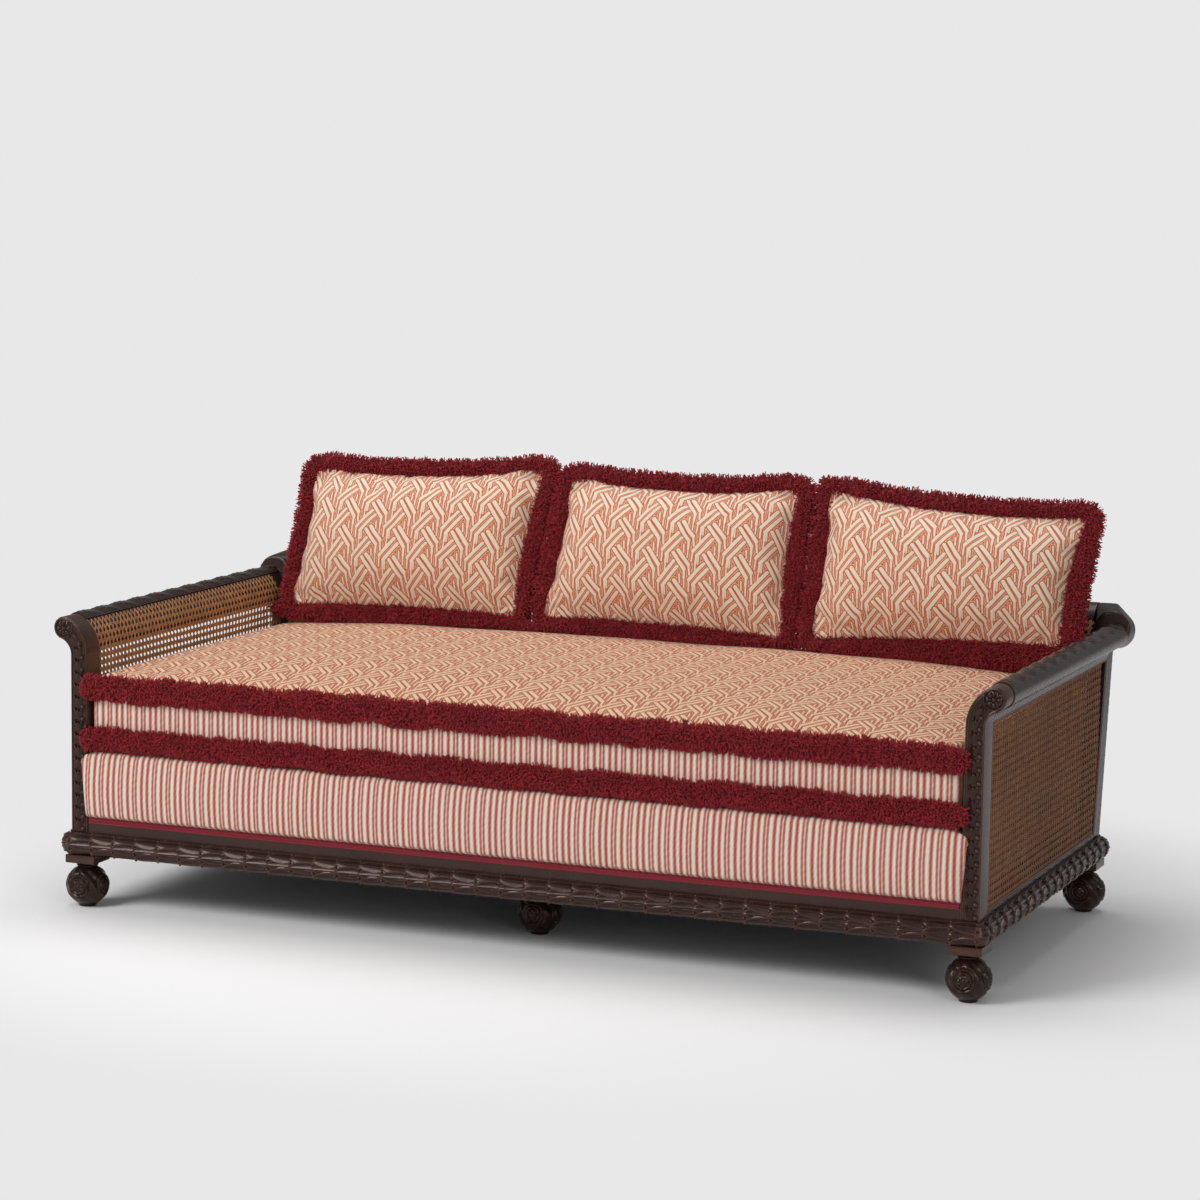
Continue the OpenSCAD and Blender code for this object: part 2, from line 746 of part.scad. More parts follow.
module upper_mattress_fringe() {
    mattress_fringe(mattress_edge_z - seam_drop - upper_fringe_h + 16, upper_fringe_h);
}
module lower_mattress_fringe() { mattress_fringe(mattress_z + 0.2, lower_fringe_h); }

// Corners of a cushion's seam in its own leaning plane
function seam_corners(mid_x, slump) = let (w = cushion_w / 2, low = seam_lift)
    [for (k = [0:3]) [mid_x + (k == 0 || k == 3 ? -w : w), low + (k < 2 ? 0 : cushion_h)] + slump[k]];

function middle_of(c) = (c[0] + c[1] + c[2] + c[3]) / 4;

// A point of the seam drawn towards the middle; inner rings turn from the seam's shape to an oval
function drawn_to(mid, p, share) =
    let (a = (p[0] - mid[0]) / cushion_w, b = (p[1] - mid[1]) / cushion_h,
        oval = max(abs(a), abs(b)) / norm([a, b]))
    mid + (p - mid) * share * between(1, oval, 1 - pow(share, 2));

// Rings of a cushion from the middle of its back, over the seam, to the middle of its front
function cushion_rings(corners, m, inset) =
    let (mid = middle_of(corners), edge = soft_outline(corners, draw_in, 8, m), share = 1 - inset / 130,
        steps = [[0.3, 1], [0.6, 1], [0.82, 1], [0.94, 1], [1, 0],
            [0.94, -1], [0.82, -1], [0.6, -1], [0.3, -1]])
    [for (st = steps) let (full = pow(1 - pow(st[0], 2.6), 0.55),
        n = st[1] > 0 ? swell_back * full - inset * min(1, full * 2) :
            st[1] < 0 ? -swell_front * full + inset * min(1, full * 2) : 0)
        [for (p = edge) let (q = drawn_to(mid, p, st[0] * share)) [q[0], n, q[1]]]];

module cushion_solid(corners, m, inset) {
    mid = middle_of(corners);
    skin(cushion_rings(corners, m, inset), [mid[0], swell_back - inset, mid[1]],
        [mid[0], inset - swell_front, mid[1]]);
}

module leaning(i) {
    centred() translate([0, cushion_y, cushion_z - settle[i]]) rotate([-lean, 0, 0]) children();
}

function cushion_x(i) = cushions_mid_x + (i - 1) * cushion_pitch;
slumps = [left_slump, middle_slump, right_slump];

module cushion_pad(i) {
    color("#efe7d8") leaning(i) cushion_solid(seam_corners(cushion_x(i), slumps[i]), 4, case_t + soft_gap);
}

// A zip opening runs along the back of the cover, just over its bottom seam
module cushion_case(i) {
    c = seam_corners(cushion_x(i), slumps[i]);
    mid = middle_of(c);
    color(weave_cream) leaning(i) difference() {
        cushion_solid(c, 8, 0);
        cushion_solid(c, 4, case_t);
        translate([mid[0] - cushion_w * 0.3, swell_back * 0.3, mid[1] - cushion_h * 0.42])
            cube([cushion_w * 0.6, swell_back * 0.7, zip_w]);
    }
}

// Flat ring of brush fringe round a cushion's seam, pressed level where it stands on the seat
module cushion_fringe(i) {
    c = seam_corners(cushion_x(i), slumps[i]);
    left = i == 0 ? fringe_w : fringe_side_w;
    right = i == 2 ? fringe_w : fringe_side_w;
    outer = [[c[0][0] - left, 0], [c[1][0] + right, 0], c[2] + [right, fringe_w], c[3] + [-left, fringe_w]];
    color(crimson) leaning(i) translate([0, fringe_t / 2, 0]) rotate([90, 0, 0]) linear_extrude(fringe_t)
        difference() {
            polygon(soft_outline(outer, 0, 30, 6));
            polygon(soft_outline(c, draw_in, 8, 8));
        }
}

long_base_rail(-1);  // front_base_rail
long_base_rail(1);  // rear_base_rail
side_base_rail(-1);  // left_base_rail
side_base_rail(1);  // right_base_rail
centre_bearer();
front_moulding();
rear_moulding();
side_moulding(-1);  // left_moulding
side_moulding(1);  // right_moulding
corner_blocks();
corner_screws();
foot(foot_places[0]);  // front_left_foot
foot(foot_places[1]);  // front_middle_foot
foot(foot_places[2]);  // front_right_foot
foot(foot_places[3]);  // rear_left_foot
foot(foot_places[4]);  // rear_middle_foot
foot(foot_places[5]);  // rear_right_foot
foot_bolts();
fascia_rail();
front_post(-1);  // front_left_post
front_post(1);  // front_right_post
rear_post(-1);  // rear_left_post
rear_post(1);  // rear_right_post
arm_rail(-1);  // left_arm_rail
arm_rail(1);  // right_arm_rail
arm_foot_rail(-1);  // left_arm_foot_rail
arm_foot_rail(1);  // right_arm_foot_rail
inner_cane(-1);  // left_inner_cane
inner_cane(1);  // right_inner_cane
outer_cane(-1);  // left_outer_cane
outer_cane(1);  // right_outer_cane
arm_cane_splines();
back_top_rail();
back_foot_rail();
back_centre_stile();
back_inner_cane();
back_outer_cane();
back_cane_splines();
frame_dowels();
webbing();
coil_springs();
spring_hessian();
dust_cloth();
sprung_base_pad();
sprung_base_cover();
fascia_braid();
mattress_core();
mattress_case();
upper_mattress_fringe();
lower_mattress_fringe();
cushion_pad(0);  // left_cushion_pad
cushion_case(0);  // left_cushion_case
cushion_fringe(0);  // left_cushion_fringe
cushion_pad(1);  // middle_cushion_pad
cushion_case(1);  // middle_cushion_case
cushion_fringe(1);  // middle_cushion_fringe
cushion_pad(2);  // right_cushion_pad
cushion_case(2);  // right_cushion_case
cushion_fringe(2);  // right_cushion_fringe
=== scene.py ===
"""Looks of a cane-sided sofa: carved dark frame, striped sprung base, fringed mattress and cushions.

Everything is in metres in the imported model's frame: X along the sofa, Y to the back, Z up.
"""

import logging
import math
from collections.abc import Callable
from dataclasses import dataclass, field
from enum import Enum
from functools import lru_cache

import bmesh
import bpy
import numpy as np
from mathutils import Matrix, Vector


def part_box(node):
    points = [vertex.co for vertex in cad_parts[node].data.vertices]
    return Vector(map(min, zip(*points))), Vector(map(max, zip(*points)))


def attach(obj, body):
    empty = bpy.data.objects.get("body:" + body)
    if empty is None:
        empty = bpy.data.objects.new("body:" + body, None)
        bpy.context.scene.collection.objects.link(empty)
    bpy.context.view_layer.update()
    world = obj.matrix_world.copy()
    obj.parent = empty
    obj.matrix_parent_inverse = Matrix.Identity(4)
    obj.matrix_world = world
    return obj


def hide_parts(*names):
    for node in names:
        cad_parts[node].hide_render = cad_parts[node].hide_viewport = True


LOG = logging.getLogger("sofa")
MM = 0.001
SEED = 7
# Sizes that pieces share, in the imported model's frame
CENTRE_Y = 47.6745 * MM
BASE_TOP = 167 * MM
INNER_X = 985 * MM
HALF_X = 1025 * MM
FRONT_Y = -475 * MM - CENTRE_Y
POST_BACK_Y = -417 * MM - CENTRE_Y
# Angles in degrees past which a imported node's edges stay sharp, and are rounded off
CREASE = 32
EDGE_ANGLE = 40


class Sock:
    """A shader socket that carries a number or a vector, with the operators that shader maths needs."""

    def __init__(self, graph: "Graph", socket: bpy.types.NodeSocket) -> None:
        """Keeps the graph and the socket."""
        self.graph = graph
        self.socket = socket

    def _math(self, operation: str, *values: "Sock | float") -> "Sock":
        """Adds one Math node on the given values."""
        return self.graph.node("Math", {"operation": operation}, dict(enumerate(values)))

    def _vector(self, operation: str, *values: "Sock | tuple", output: int = 0) -> "Sock":
        """Adds one Vector Math node on the given values."""
        return self.graph.node("VectorMath", {"operation": operation}, dict(enumerate(values)), output)

    def __add__(self, other: "Sock | float") -> "Sock":
        """Sum."""
        return self._math("ADD", self, other)

    __radd__ = __add__

    def __sub__(self, other: "Sock | float") -> "Sock":
        """Difference."""
        return self._math("SUBTRACT", self, other)

    def __rsub__(self, other: float) -> "Sock":
        """Difference from a number."""
        return self._math("SUBTRACT", other, self)

    def __mul__(self, other: "Sock | float") -> "Sock":
        """Product."""
        return self._math("MULTIPLY", self, other)

    __rmul__ = __mul__

    def __truediv__(self, other: float) -> "Sock":
        """Quotient."""
        return self._math("DIVIDE", self, other)

    def __abs__(self) -> "Sock":
        """Size without its sign."""
        return self._math("ABSOLUTE", self)

    def sin(self) -> "Sock":
        """Sine of an angle in radians."""
        return self._math("SINE", self)

    def fract(self) -> "Sock":
        """Fractional part."""
        return self._math("FRACT", self)

    def high(self, other: "Sock | float") -> "Sock":
        """The larger of two values."""
        return self._math("MAXIMUM", self, other)

    def low(self, other: "Sock | float") -> "Sock":
        """The smaller of two values."""
        return self._math("MINIMUM", self, other)

    def step(self, start: float, end: float) -> "Sock":
        """Smooth step that is 0 at start and 1 at end."""
        return self.graph.node("MapRange", {"interpolation_type": "SMOOTHSTEP"},
                               {0: self, 1: start, 2: end, 3: 0.0, 4: 1.0})

    def shift(self, offset: tuple) -> "Sock":
        """Vector sum with a fixed vector."""
        return self._vector("ADD", self, offset)

    def scaled(self, factors: tuple) -> "Sock":
        """Vector product with a fixed vector, part by part."""
        return self._vector("MULTIPLY", self, factors)

    def wrapped(self) -> "Sock":
        """Fractional part of each part of a vector."""
        return self._vector("FRACTION", self)

    def dot(self, other: tuple) -> "Sock":
        """Dot product with a fixed vector."""
        return self._vector("DOT_PRODUCT", self, other, output=1)

    def part(self, index: int) -> "Sock":
        """One part of a vector: 0, 1 or 2."""
        return self.graph.node("SeparateXYZ", None, {0: self}, index)


class Graph:
    """The node tree of one material."""

    def __init__(self, name: str) -> None:
        """Starts an empty material of that name."""
        self.material = bpy.data.materials.new(name)
        self.material.use_nodes = True
        self.tree = self.material.node_tree
        self.tree.nodes.clear()

    def node(self, kind: str, settings: dict | None = None, inputs: dict | None = None,
             output: int | str = 0) -> Sock | None:
        """Adds a node.

        Args:
            kind: Node type without its ShaderNode prefix.
            settings: Properties of the node; stops is a ramp's list of position and colour.
            inputs: Socket name or number to a value or a Sock.
            output: Name or number of the socket to give back.

        Returns:
            The chosen output, or nothing for the tree's last node.
        """
        node = self.tree.nodes.new("ShaderNode" + kind)
        for key, value in (settings or {}).items():
            if key == "stops":
                self._stops(node.color_ramp, value)
            else:
                setattr(node, key, value)
        for key, value in (inputs or {}).items():
            if isinstance(value, Sock):
                self.tree.links.new(value.socket, node.inputs[key])
            else:
                node.inputs[key].default_value = value
        return Sock(self, node.outputs[output]) if node.outputs else None

    @staticmethod
    def _stops(ramp: bpy.types.ColorRamp, stops: list[tuple]) -> None:
        """Sets a ramp's stops, given as position and colour."""
        while len(ramp.elements) < len(stops):
            ramp.elements.new(1.0)
        for element, (place, colour) in zip(ramp.elements, stops):
            element.position = place
            element.color = (*colour, 1.0)

    def place(self) -> Sock:
        """Object coordinates in metres."""
        return self.node("TexCoord", output="Object")

    def cloth(self) -> Sock:
        """Place on the flat cloth in metres, from the piece's own UV map."""
        return self.node("UVMap", {"uv_map": "cloth"})

    def attribute(self, name: str) -> Sock:
        """A number that the mesh holds at each point."""
        return self.node("Attribute", {"attribute_name": name}, output="Fac")

    def noise(self, place: Sock, scale: float, detail: float = 2.0, rough: float = 0.5) -> Sock:
        """Smooth noise from 0 to 1."""
        return self.node("TexNoise", None, {"Vector": place, "Scale": scale, "Detail": detail,
                                            "Roughness": rough})

    def mix(self, share: Sock | float, first: "Sock | tuple", second: "Sock | tuple",
            blend: str = "MIX") -> Sock:
        """Mixes two colours.

        Args:
            share: How much of the second, from 0 to 1.
            first: Colour, as three numbers or a Sock.
            second: Colour, as three numbers or a Sock.
            blend: Blend mode.

        Returns:
            The mixed colour.
        """
        full = [c if isinstance(c, Sock) else (*c, 1.0) for c in (first, second)]
        return self.node("Mix", {"data_type": "RGBA", "blend_type": blend},
                         {0: share, 6: full[0], 7: full[1]}, 2)

    def root(self, value: Sock) -> Sock:
        """Square root."""
        return value._math("SQRT", value)

    def bump(self, height: Sock, depth: float, strength: float = 1.0) -> Sock:
        """Normal of a bumpy surface whose full height is depth, in metres."""
        return self.node("Bump", None, {"Height": height, "Distance": depth, "Strength": strength}, "Normal")

    def finish(self, inputs: dict) -> bpy.types.Material:
        """Ends the tree in a Principled surface with these inputs."""
        surface = self.node("BsdfPrincipled", None, inputs)
        self.node("OutputMaterial", None, {"Surface": surface})
        return self.material


class Grain(Enum):
    """Direction in which the wood's grain runs, as the stretch of its pattern."""

    ALONG_X = (0.06, 1.0, 1.0)
    ALONG_Y = (1.0, 0.06, 1.0)
    ALONG_Z = (1.0, 1.0, 0.06)


@dataclass(frozen=True)
class Mahogany:
    """Dark stained hardwood with a waxed, half-gloss polish."""

    grain: Grain = Grain.ALONG_X
    carved: bool = False
    dark: tuple = (0.0080, 0.0036, 0.0031)
    light: tuple = (0.034, 0.0136, 0.0100)
    polish: float = 0.20
    pore: tuple = (0.008, 0.004, 0.0035)
    # Lighter colour on sharp edges and crests: partly real wear, partly a painted highlight
    wear_and_highlight: tuple = (0.082, 0.040, 0.029)
    # Painted shade: a darker colour laid into hollows and creases
    recess_shade: tuple = (0.006, 0.0028, 0.0024)
    mirror: float = 0.34
    mirror_tint: tuple = (1.0, 0.82, 0.72)

    @lru_cache
    def material(self) -> bpy.types.Material:
        """Builds the material once."""
        g = Graph(f"mahogany_{self.grain.name.lower()}{'_carved' if self.carved else ''}")
        place = g.place()
        along = place.scaled(self.grain.value)
        fibre = g.noise(along, 420.0, 4.0, 0.6)
        streak = g.noise(along, 46.0, 3.0)
        cloud = g.noise(place, 9.0, 2.0)
        short = place.scaled(tuple(4.0 * v if v < 1 else v for v in self.grain.value))
        pores = g.noise(short, 1500.0).step(0.63, 0.70)
        tone = (fibre * 0.45 + streak * 0.75 + cloud * 0.35 - 0.42).low(1.0).high(0.0)
        colour = g.mix(tone, self.dark, self.light)
        colour = g.mix(pores * 0.55, colour, self.pore)
        point = g.node("NewGeometry", output="Pointiness")
        # Sharp edges and crests, where pointiness is high, lighten: partly real wear, partly a painted highlight
        wear_and_highlight = point.step(0.512, 0.56) * (0.65 if self.carved else 0.30)
        colour = g.mix(wear_and_highlight * (cloud + 0.35).low(1.0), colour, self.wear_and_highlight)
        # Painted shade in hollows and creases, where pointiness is low; there the polish is also rougher
        recess_shade = 1.0 - point.step(0.43, 0.497)
        colour = g.mix(recess_shade * (0.85 if self.carved else 0.5), colour, self.recess_shade)
        rough = self.polish + 0.14 * g.noise(place, 60.0, 2.0) + 0.25 * recess_shade - 0.05 * wear_and_highlight
        relief = fibre * 0.5 - pores
        return g.finish({"Base Color": colour, "Roughness": rough, "Specular IOR Level": self.mirror,
                         "Specular Tint": (*self.mirror_tint, 1.0), "Normal": g.bump(relief, 0.00016, 0.6)})


@dataclass(frozen=True)
class Cane:
    """Split cane, stained and a little glossy on its skin side."""

    name: str = "cane_inner"
    dark: tuple = (0.200, 0.074, 0.020)
    light: tuple = (0.520, 0.235, 0.080)

    @lru_cache
    def material(self) -> bpy.types.Material:
        """Builds the material once."""
        g = Graph(self.name)
        place = g.place()
        strand = g.attribute("tone")
        fleck = g.noise(place, 260.0, 3.0)
        patch = g.noise(place, 26.0, 2.0)
        tone = (strand * 0.5 + fleck * 0.45 + patch * 0.5 - 0.25).low(1.0).high(0.0)
        colour = g.mix(tone, self.dark, self.light)
        colour = g.mix(g.noise(place, 900.0).step(0.62, 0.72) * 0.5, colour, (0.055, 0.020, 0.008))
        return g.finish({"Base Color": colour, "Roughness": 0.40 + 0.2 * fleck,
                         "Normal": g.bump(g.noise(place, 1400.0), 0.0001)})


@dataclass(frozen=True)
class Yarn:
    """Cut crimson yarn, darker at its root than at its tip: painted shade deep in the pile and a painted highlight on
    the tips.
    """

    # root is a painted shade colour, tip a painted highlight colour, and mid the crimson between them
    root: tuple = (0.085, 0.0020, 0.0050)
    mid: tuple = (0.370, 0.0105, 0.0190)
    tip: tuple = (0.720, 0.0420, 0.0560)

    @lru_cache
    def material(self) -> bpy.types.Material:
        """Builds the material once."""
        g = Graph("crimson_yarn")
        place = g.place()
        along = g.attribute("along")
        tone = g.attribute("tone")
        grain = g.noise(place, 520.0, 2.0).step(0.30, 0.70)
        # Painted shade towards each yarn's root and in the pile where the noise is low, a painted highlight towards
        # its tip, and darker random patches
        colour = g.mix(along.step(0.10, 0.70), self.root, self.mid)
        colour = g.mix(along.step(0.40, 1.0) * (tone * 0.55 + grain * 0.45), colour, self.tip)
        colour = g.mix(0.45 * (1.0 - grain) * (1.0 - along.step(0.6, 1.0)), colour, self.root)
        patch = g.noise(place, 34.0, 2.0).step(0.30, 0.72)
        colour = g.mix(0.25 * (1.0 - patch), colour, self.root)
        twist = (along * 42.0 + tone * 6.0).sin()
        return g.finish({"Base Color": colour, "Roughness": 0.72, "Sheen Weight": 0.12,
                         "Sheen Roughness": 0.4, "Sheen Tint": (0.80, 0.10, 0.12, 1.0),
                         "Normal": g.bump(twist * 0.2 + grain * 2.0, 0.0012)})


@dataclass(frozen=True)
class Braid:
    """Flat crimson braid, plaited from fine cords."""

    colour: tuple = (0.330, 0.0115, 0.030)

    @lru_cache
    def material(self) -> bpy.types.Material:
        """Builds the material once."""
        g = Graph("crimson_braid")
        place = g.place()
        patch = g.noise(place, 120.0, 2.0)
        colour = g.mix(patch * 0.55, self.colour, tuple(0.45 * c for c in self.colour))
        fuzz = g.noise(place, 2600.0)
        return g.finish({"Base Color": colour, "Roughness": 0.62, "Sheen Weight": 0.3,
                         "Sheen Tint": (0.8, 0.2, 0.25, 1.0), "Normal": g.bump(fuzz, 0.0002)})


def thread_relief(cloth: Sock, pitch: float) -> Sock:
    """Height of a plain weave whose threads lie pitch apart, in metres."""
    turn = 2 * math.pi / pitch
    warp = (cloth.part(0) * turn).sin()
    weft = (cloth.part(1) * turn).sin()
    return abs(warp) * 0.5 + abs(weft) * 0.5 + warp * weft * 0.4


@dataclass(frozen=True)
class TickingStripe:
    """Heavy woven stripe: heathered cream bands between speckled rust lines."""

    repeat: float = 0.082
    cream: tuple = (0.820, 0.750, 0.630)
    rust: tuple = (0.430, 0.052, 0.023)
    blush: tuple = (0.620, 0.330, 0.250)
    thread: float = 0.0026
    twill: float = 0.0031
    # Place in the repeat, half width, and how solid each rust line is
    lines: tuple = ((0.060, 0.034, 0.95), (0.150, 0.034, 0.95), (0.322, 0.046, 1.0), (0.481, 0.034, 0.95),
                    (0.570, 0.034, 0.95), (0.736, 0.046, 1.0), (0.901, 0.046, 1.0))

    @lru_cache
    def material(self) -> bpy.types.Material:
        """Builds the material once."""
        g = Graph("ticking_stripe")
        cloth = g.cloth()
        along = cloth.part(0)
        wander = g.noise(cloth.scaled((1.0, 0.25, 1.0)), 60.0) * 0.0012
        phase = ((along + wander) / self.repeat).fract()
        twill = ((cloth.part(0) + cloth.part(1)) * (2 * math.pi / self.twill)).sin()
        pick = (cloth.part(1) * (2 * math.pi / self.thread)).sin()
        speckle = twill * 0.5 + pick * 0.35 + g.noise(cloth, 900.0, 2.0) - 0.5
        colour = g.mix(g.noise(cloth, 700.0, 3.0).step(0.42, 0.78) * 0.40, self.cream, self.blush)
        for centre, half, solid in self.lines:
            gap = abs(phase - centre)
            mask = 1.0 - (gap / half + speckle * 0.78).step(0.72, 1.18)
            colour = g.mix(mask * solid, colour, self.rust)
        colour = g.mix((speckle.step(0.45, 0.95)) * 0.24, colour, (0.80, 0.71, 0.60))
        height = thread_relief(cloth, self.thread) + g.noise(cloth, 500.0) * 0.8
        return g.finish({"Base Color": colour, "Roughness": 0.88, "Sheen Weight": 0.15,
                         "Normal": g.bump(height, 0.0006)})


@dataclass(frozen=True)
class InterlacedWeave:
    """Heavy cloth with cream bars that pass over and under each other on a terracotta ground."""

    name: str = "interlaced_weave"
    cell: float = 0.0735
    cream: tuple = (0.780, 0.690, 0.530)
    ground: tuple = (0.730, 0.340, 0.185)
    rust: tuple = (0.510, 0.088, 0.032)
    shade: tuple = (0.330, 0.050, 0.028)
    echo: float = 0.0043
    weft: float = 0.0023
    warp: float = 0.0029
    # Stretches of the bars in a cell, as start, end and half width in metres; the cell runs right and down
    bars: tuple = (
        ((0.0, 0.0), (0.443, 0.557), 0.0045),
        ((0.443, 0.557), (0.463, 0.828), 0.0032),
        ((0.463, 0.828), (0.493, 1.137), 0.0021),
        ((0.15, -0.099), (0.567, 0.392), 0.0049),
        ((0.567, 0.392), (0.631, 0.728), 0.0028),
        ((1.059, 0.301), (0.63, 0.906), 0.0045),
        ((0.63, 0.906), (0.647, 1.26), 0.0024),
        ((1.198, 0.469), (0.781, 1.044), 0.0045),
        ((0.781, 1.044), (0.79, 1.31), 0.0032),
        ((0.79, 1.31), (0.805, 1.575), 0.0021),
        ((0.851, 0.078), (0.869, 0.328), 0.0021),
        ((0.302, 0.714), (0.341, 0.96), 0.0023),
    )

    def gap(self, g: Graph, cell: Sock, start: tuple, end: tuple, half: float) -> Sock:
        """Distance to one stretch of a bar, repeated in every cell.

        Args:
            g: Graph to build in.
            cell: Place in cells, right and down.
            start: First end of the stretch in the cell.
            end: Its other end.
            half: Half of the bar's width in metres.

        Returns:
            Distance from the bar's edge in metres, below nothing on the bar.
        """
        middle = [(a + b) / 2 for a, b in zip(start, end)]
        run = [(b - a) * self.cell for a, b in zip(start, end)]
        length = math.hypot(*run)
        unit = [r / length for r in run]
        wrapped = cell.shift((0.5 - middle[0], 0.5 - middle[1], 0.0)).wrapped().shift((-0.5, -0.5, 0.0))
        along = wrapped.dot((unit[0] * self.cell, unit[1] * self.cell, 0.0))
        across = wrapped.dot((-unit[1] * self.cell, unit[0] * self.cell, 0.0))
        beyond = (abs(along) - length / 2).high(0.0)
        return g.root(beyond * beyond + across * across) - half

    @lru_cache
    def material(self) -> bpy.types.Material:
        """Builds the material once."""
        g = Graph(self.name)
        cloth = g.cloth()
        fray = g.noise(cloth, 1000.0, 2.0)
        sway = g.node("VectorMath", {"operation": "MULTIPLY_ADD"},
                      {0: g.node("TexNoise", None, {"Vector": cloth, "Scale": 240.0}, "Color"),
                       1: (0.0016, 0.0016, 0.0), 2: cloth})
        cell = sway.scaled((1 / self.cell, -1 / self.cell, 0.0))
        gap = None
        for start, end, half in self.bars:
            found = self.gap(g, cell, start, end, half)
            gap = found if gap is None else gap.low(found)
        gap = gap + (fray - 0.5) * 0.0018
        bar = (gap + 0.0004).step(0.0005, -0.0004)
        # Beyond each bar the rust outline comes again, thread by thread
        ripple = (gap * (2 * math.pi / self.echo)).sin()
        outline = ripple.step(-0.40, 0.15)
        rib = (cloth.part(1) * (2 * math.pi / self.weft)).sin()
        stitch = (cloth.part(0) * (2 * math.pi / self.warp)).sin()
        fleck = fray + 0.12 * rib * stitch
        colour = g.mix(fleck.step(0.40, 0.66) * 0.50, self.ground, self.cream)
        colour = g.mix(outline * (0.70 + 0.5 * fleck).low(1.0), colour, self.rust)
        colour = g.mix((1.0 - fleck.step(0.30, 0.40)) * 0.45, colour, self.shade)
        across = (rib * stitch).step(0.15, 0.75) * 0.20
        thread = g.mix((1.0 - g.noise(cloth, 900.0, 2.0).step(0.26, 0.46)) * 0.30 + across, self.cream, self.ground)
        colour = g.mix(bar, colour, thread)
        height = bar * 0.9 + abs(rib) * 0.30 + fray * 0.5
        return g.finish({"Base Color": colour, "Roughness": 0.9, "Sheen Weight": 0.10,
                         "Normal": g.bump(height, 0.0009)})


@dataclass(frozen=True)
class PlainCloth:
    """Plain woven cloth, such as hessian, webbing or lining."""

    name: str
    light: tuple
    dark: tuple
    pitch: float = 0.002
    depth: float = 0.0005

    @lru_cache
    def material(self) -> bpy.types.Material:
        """Builds the material once."""
        g = Graph(self.name)
        place = g.place()
        height = thread_relief(place, self.pitch)
        slub = g.noise(place.scaled((1.0, 0.2, 1.0)), 500.0, 2.0)
        tone = (height * 0.5 + slub * 0.6 - 0.2).low(1.0).high(0.0)
        return g.finish({"Base Color": g.mix(tone, self.dark, self.light), "Roughness": 0.9,
                         "Normal": g.bump(height + slub, self.depth)})


@dataclass(frozen=True)
class Steel:
    """Plain drawn or turned steel, a little dulled."""

    @lru_cache
    def material(self) -> bpy.types.Material:
        """Builds the material once."""
        g = Graph("dull_steel")
        place = g.place()
        dull = g.noise(place, 90.0, 3.0)
        colour = g.mix(dull, (0.30, 0.30, 0.31), (0.55, 0.56, 0.58))
        return g.finish({"Base Color": colour, "Metallic": 1.0, "Roughness": 0.30 + 0.3 * dull,
                         "Normal": g.bump(g.noise(place, 1200.0), 0.00005)})


HESSIAN = PlainCloth("hessian", (0.40, 0.28, 0.15), (0.20, 0.13, 0.065))
LINING = PlainCloth("black_lining", (0.030, 0.030, 0.033), (0.010, 0.010, 0.011), 0.0012, 0.0002)
BEECH = Cane("plain_beech", (0.30, 0.17, 0.075), (0.50, 0.33, 0.17))


def shade(mesh: bpy.types.Mesh, crease: float | None = None) -> None:
    """Shades a mesh smoothly, up to an angle in degrees if one is given."""
    mesh.polygons.foreach_set("use_smooth", [True] * len(mesh.polygons))
    if crease is not None:
        mesh.set_sharp_from_angle(angle=math.radians(crease))


@dataclass
class Soft:
    """A list of points and faces that grows into a mesh, with numbers held at its points."""

    points: list = field(default_factory=list)
    faces: list = field(default_factory=list)
    marks: dict = field(default_factory=dict)

    def add(self, points: np.ndarray, faces: np.ndarray | list, **marks: np.ndarray | float) -> None:
        """Adds points, faces that count from the first of them, and marks at the points."""
        start = sum(len(p) for p in self.points)
        self.points.append(np.asarray(points, float).reshape(-1, 3))
        self.faces += [[start + i for i in f] for f in (faces.tolist() if hasattr(faces, "tolist") else faces)]
        for name, value in marks.items():
            self.marks.setdefault(name, []).append(np.broadcast_to(value, len(self.points[-1])))

    def mesh(self, name: str, crease: float | None = 35.0) -> bpy.types.Mesh:
        """Makes the mesh.

        Args:
            name: Name of the mesh.
            crease: Angle in degrees past which an edge is sharp, or None for flat faces.

        Returns:
            The mesh, with its marks as point attributes.
        """
        made = bpy.data.meshes.new(name)
        made.from_pydata(np.concatenate(self.points).tolist(), [], self.faces)
        for key, values in self.marks.items():
            layer = made.attributes.new(key, "FLOAT", "POINT")
            layer.data.foreach_set("value", np.concatenate(values).astype(np.float32))
        if crease is not None:
            shade(made, crease)
        made.update()
        return made


def shell(name: str, points: np.ndarray, faces: np.ndarray | list, crease: float | None = 35.0) -> bpy.types.Mesh:
    """Makes a mesh of one set of points and faces, shaded as Soft.mesh does."""
    made = Soft()
    made.add(points, faces)
    return made.mesh(name, crease)


def mesh_points(mesh: bpy.types.Mesh) -> np.ndarray:
    """Points of a mesh as rows of three numbers."""
    flat = np.empty(len(mesh.vertices) * 3, np.float32)
    mesh.vertices.foreach_get("co", flat)
    return flat.reshape(-1, 3).astype(float)


def move_points(mesh: bpy.types.Mesh, points: np.ndarray) -> None:
    """Puts a mesh's points in new places."""
    mesh.vertices.foreach_set("co", points.astype(np.float32).ravel())
    mesh.update()


def grid_faces(rows: int, columns: int, round_rows: bool = False, round_columns: bool = False) -> np.ndarray:
    """Four-cornered faces between the points of a grid, counted row by row.

    Args:
        rows: Number of rows of points.
        columns: Number of points in a row.
        round_rows: Whether the last row joins the first.
        round_columns: Whether the last point of a row joins its first.

    Returns:
        One row of four point numbers for each face.
    """
    i = np.arange(rows if round_rows else rows - 1)[:, None]
    j = np.arange(columns if round_columns else columns - 1)[None, :]
    i2 = (i + 1) % rows
    j2 = (j + 1) % columns
    corners = (i * columns + j, i * columns + j2, i2 * columns + j2, i2 * columns + j)
    return np.stack(np.broadcast_arrays(*corners), -1).reshape(-1, 4)


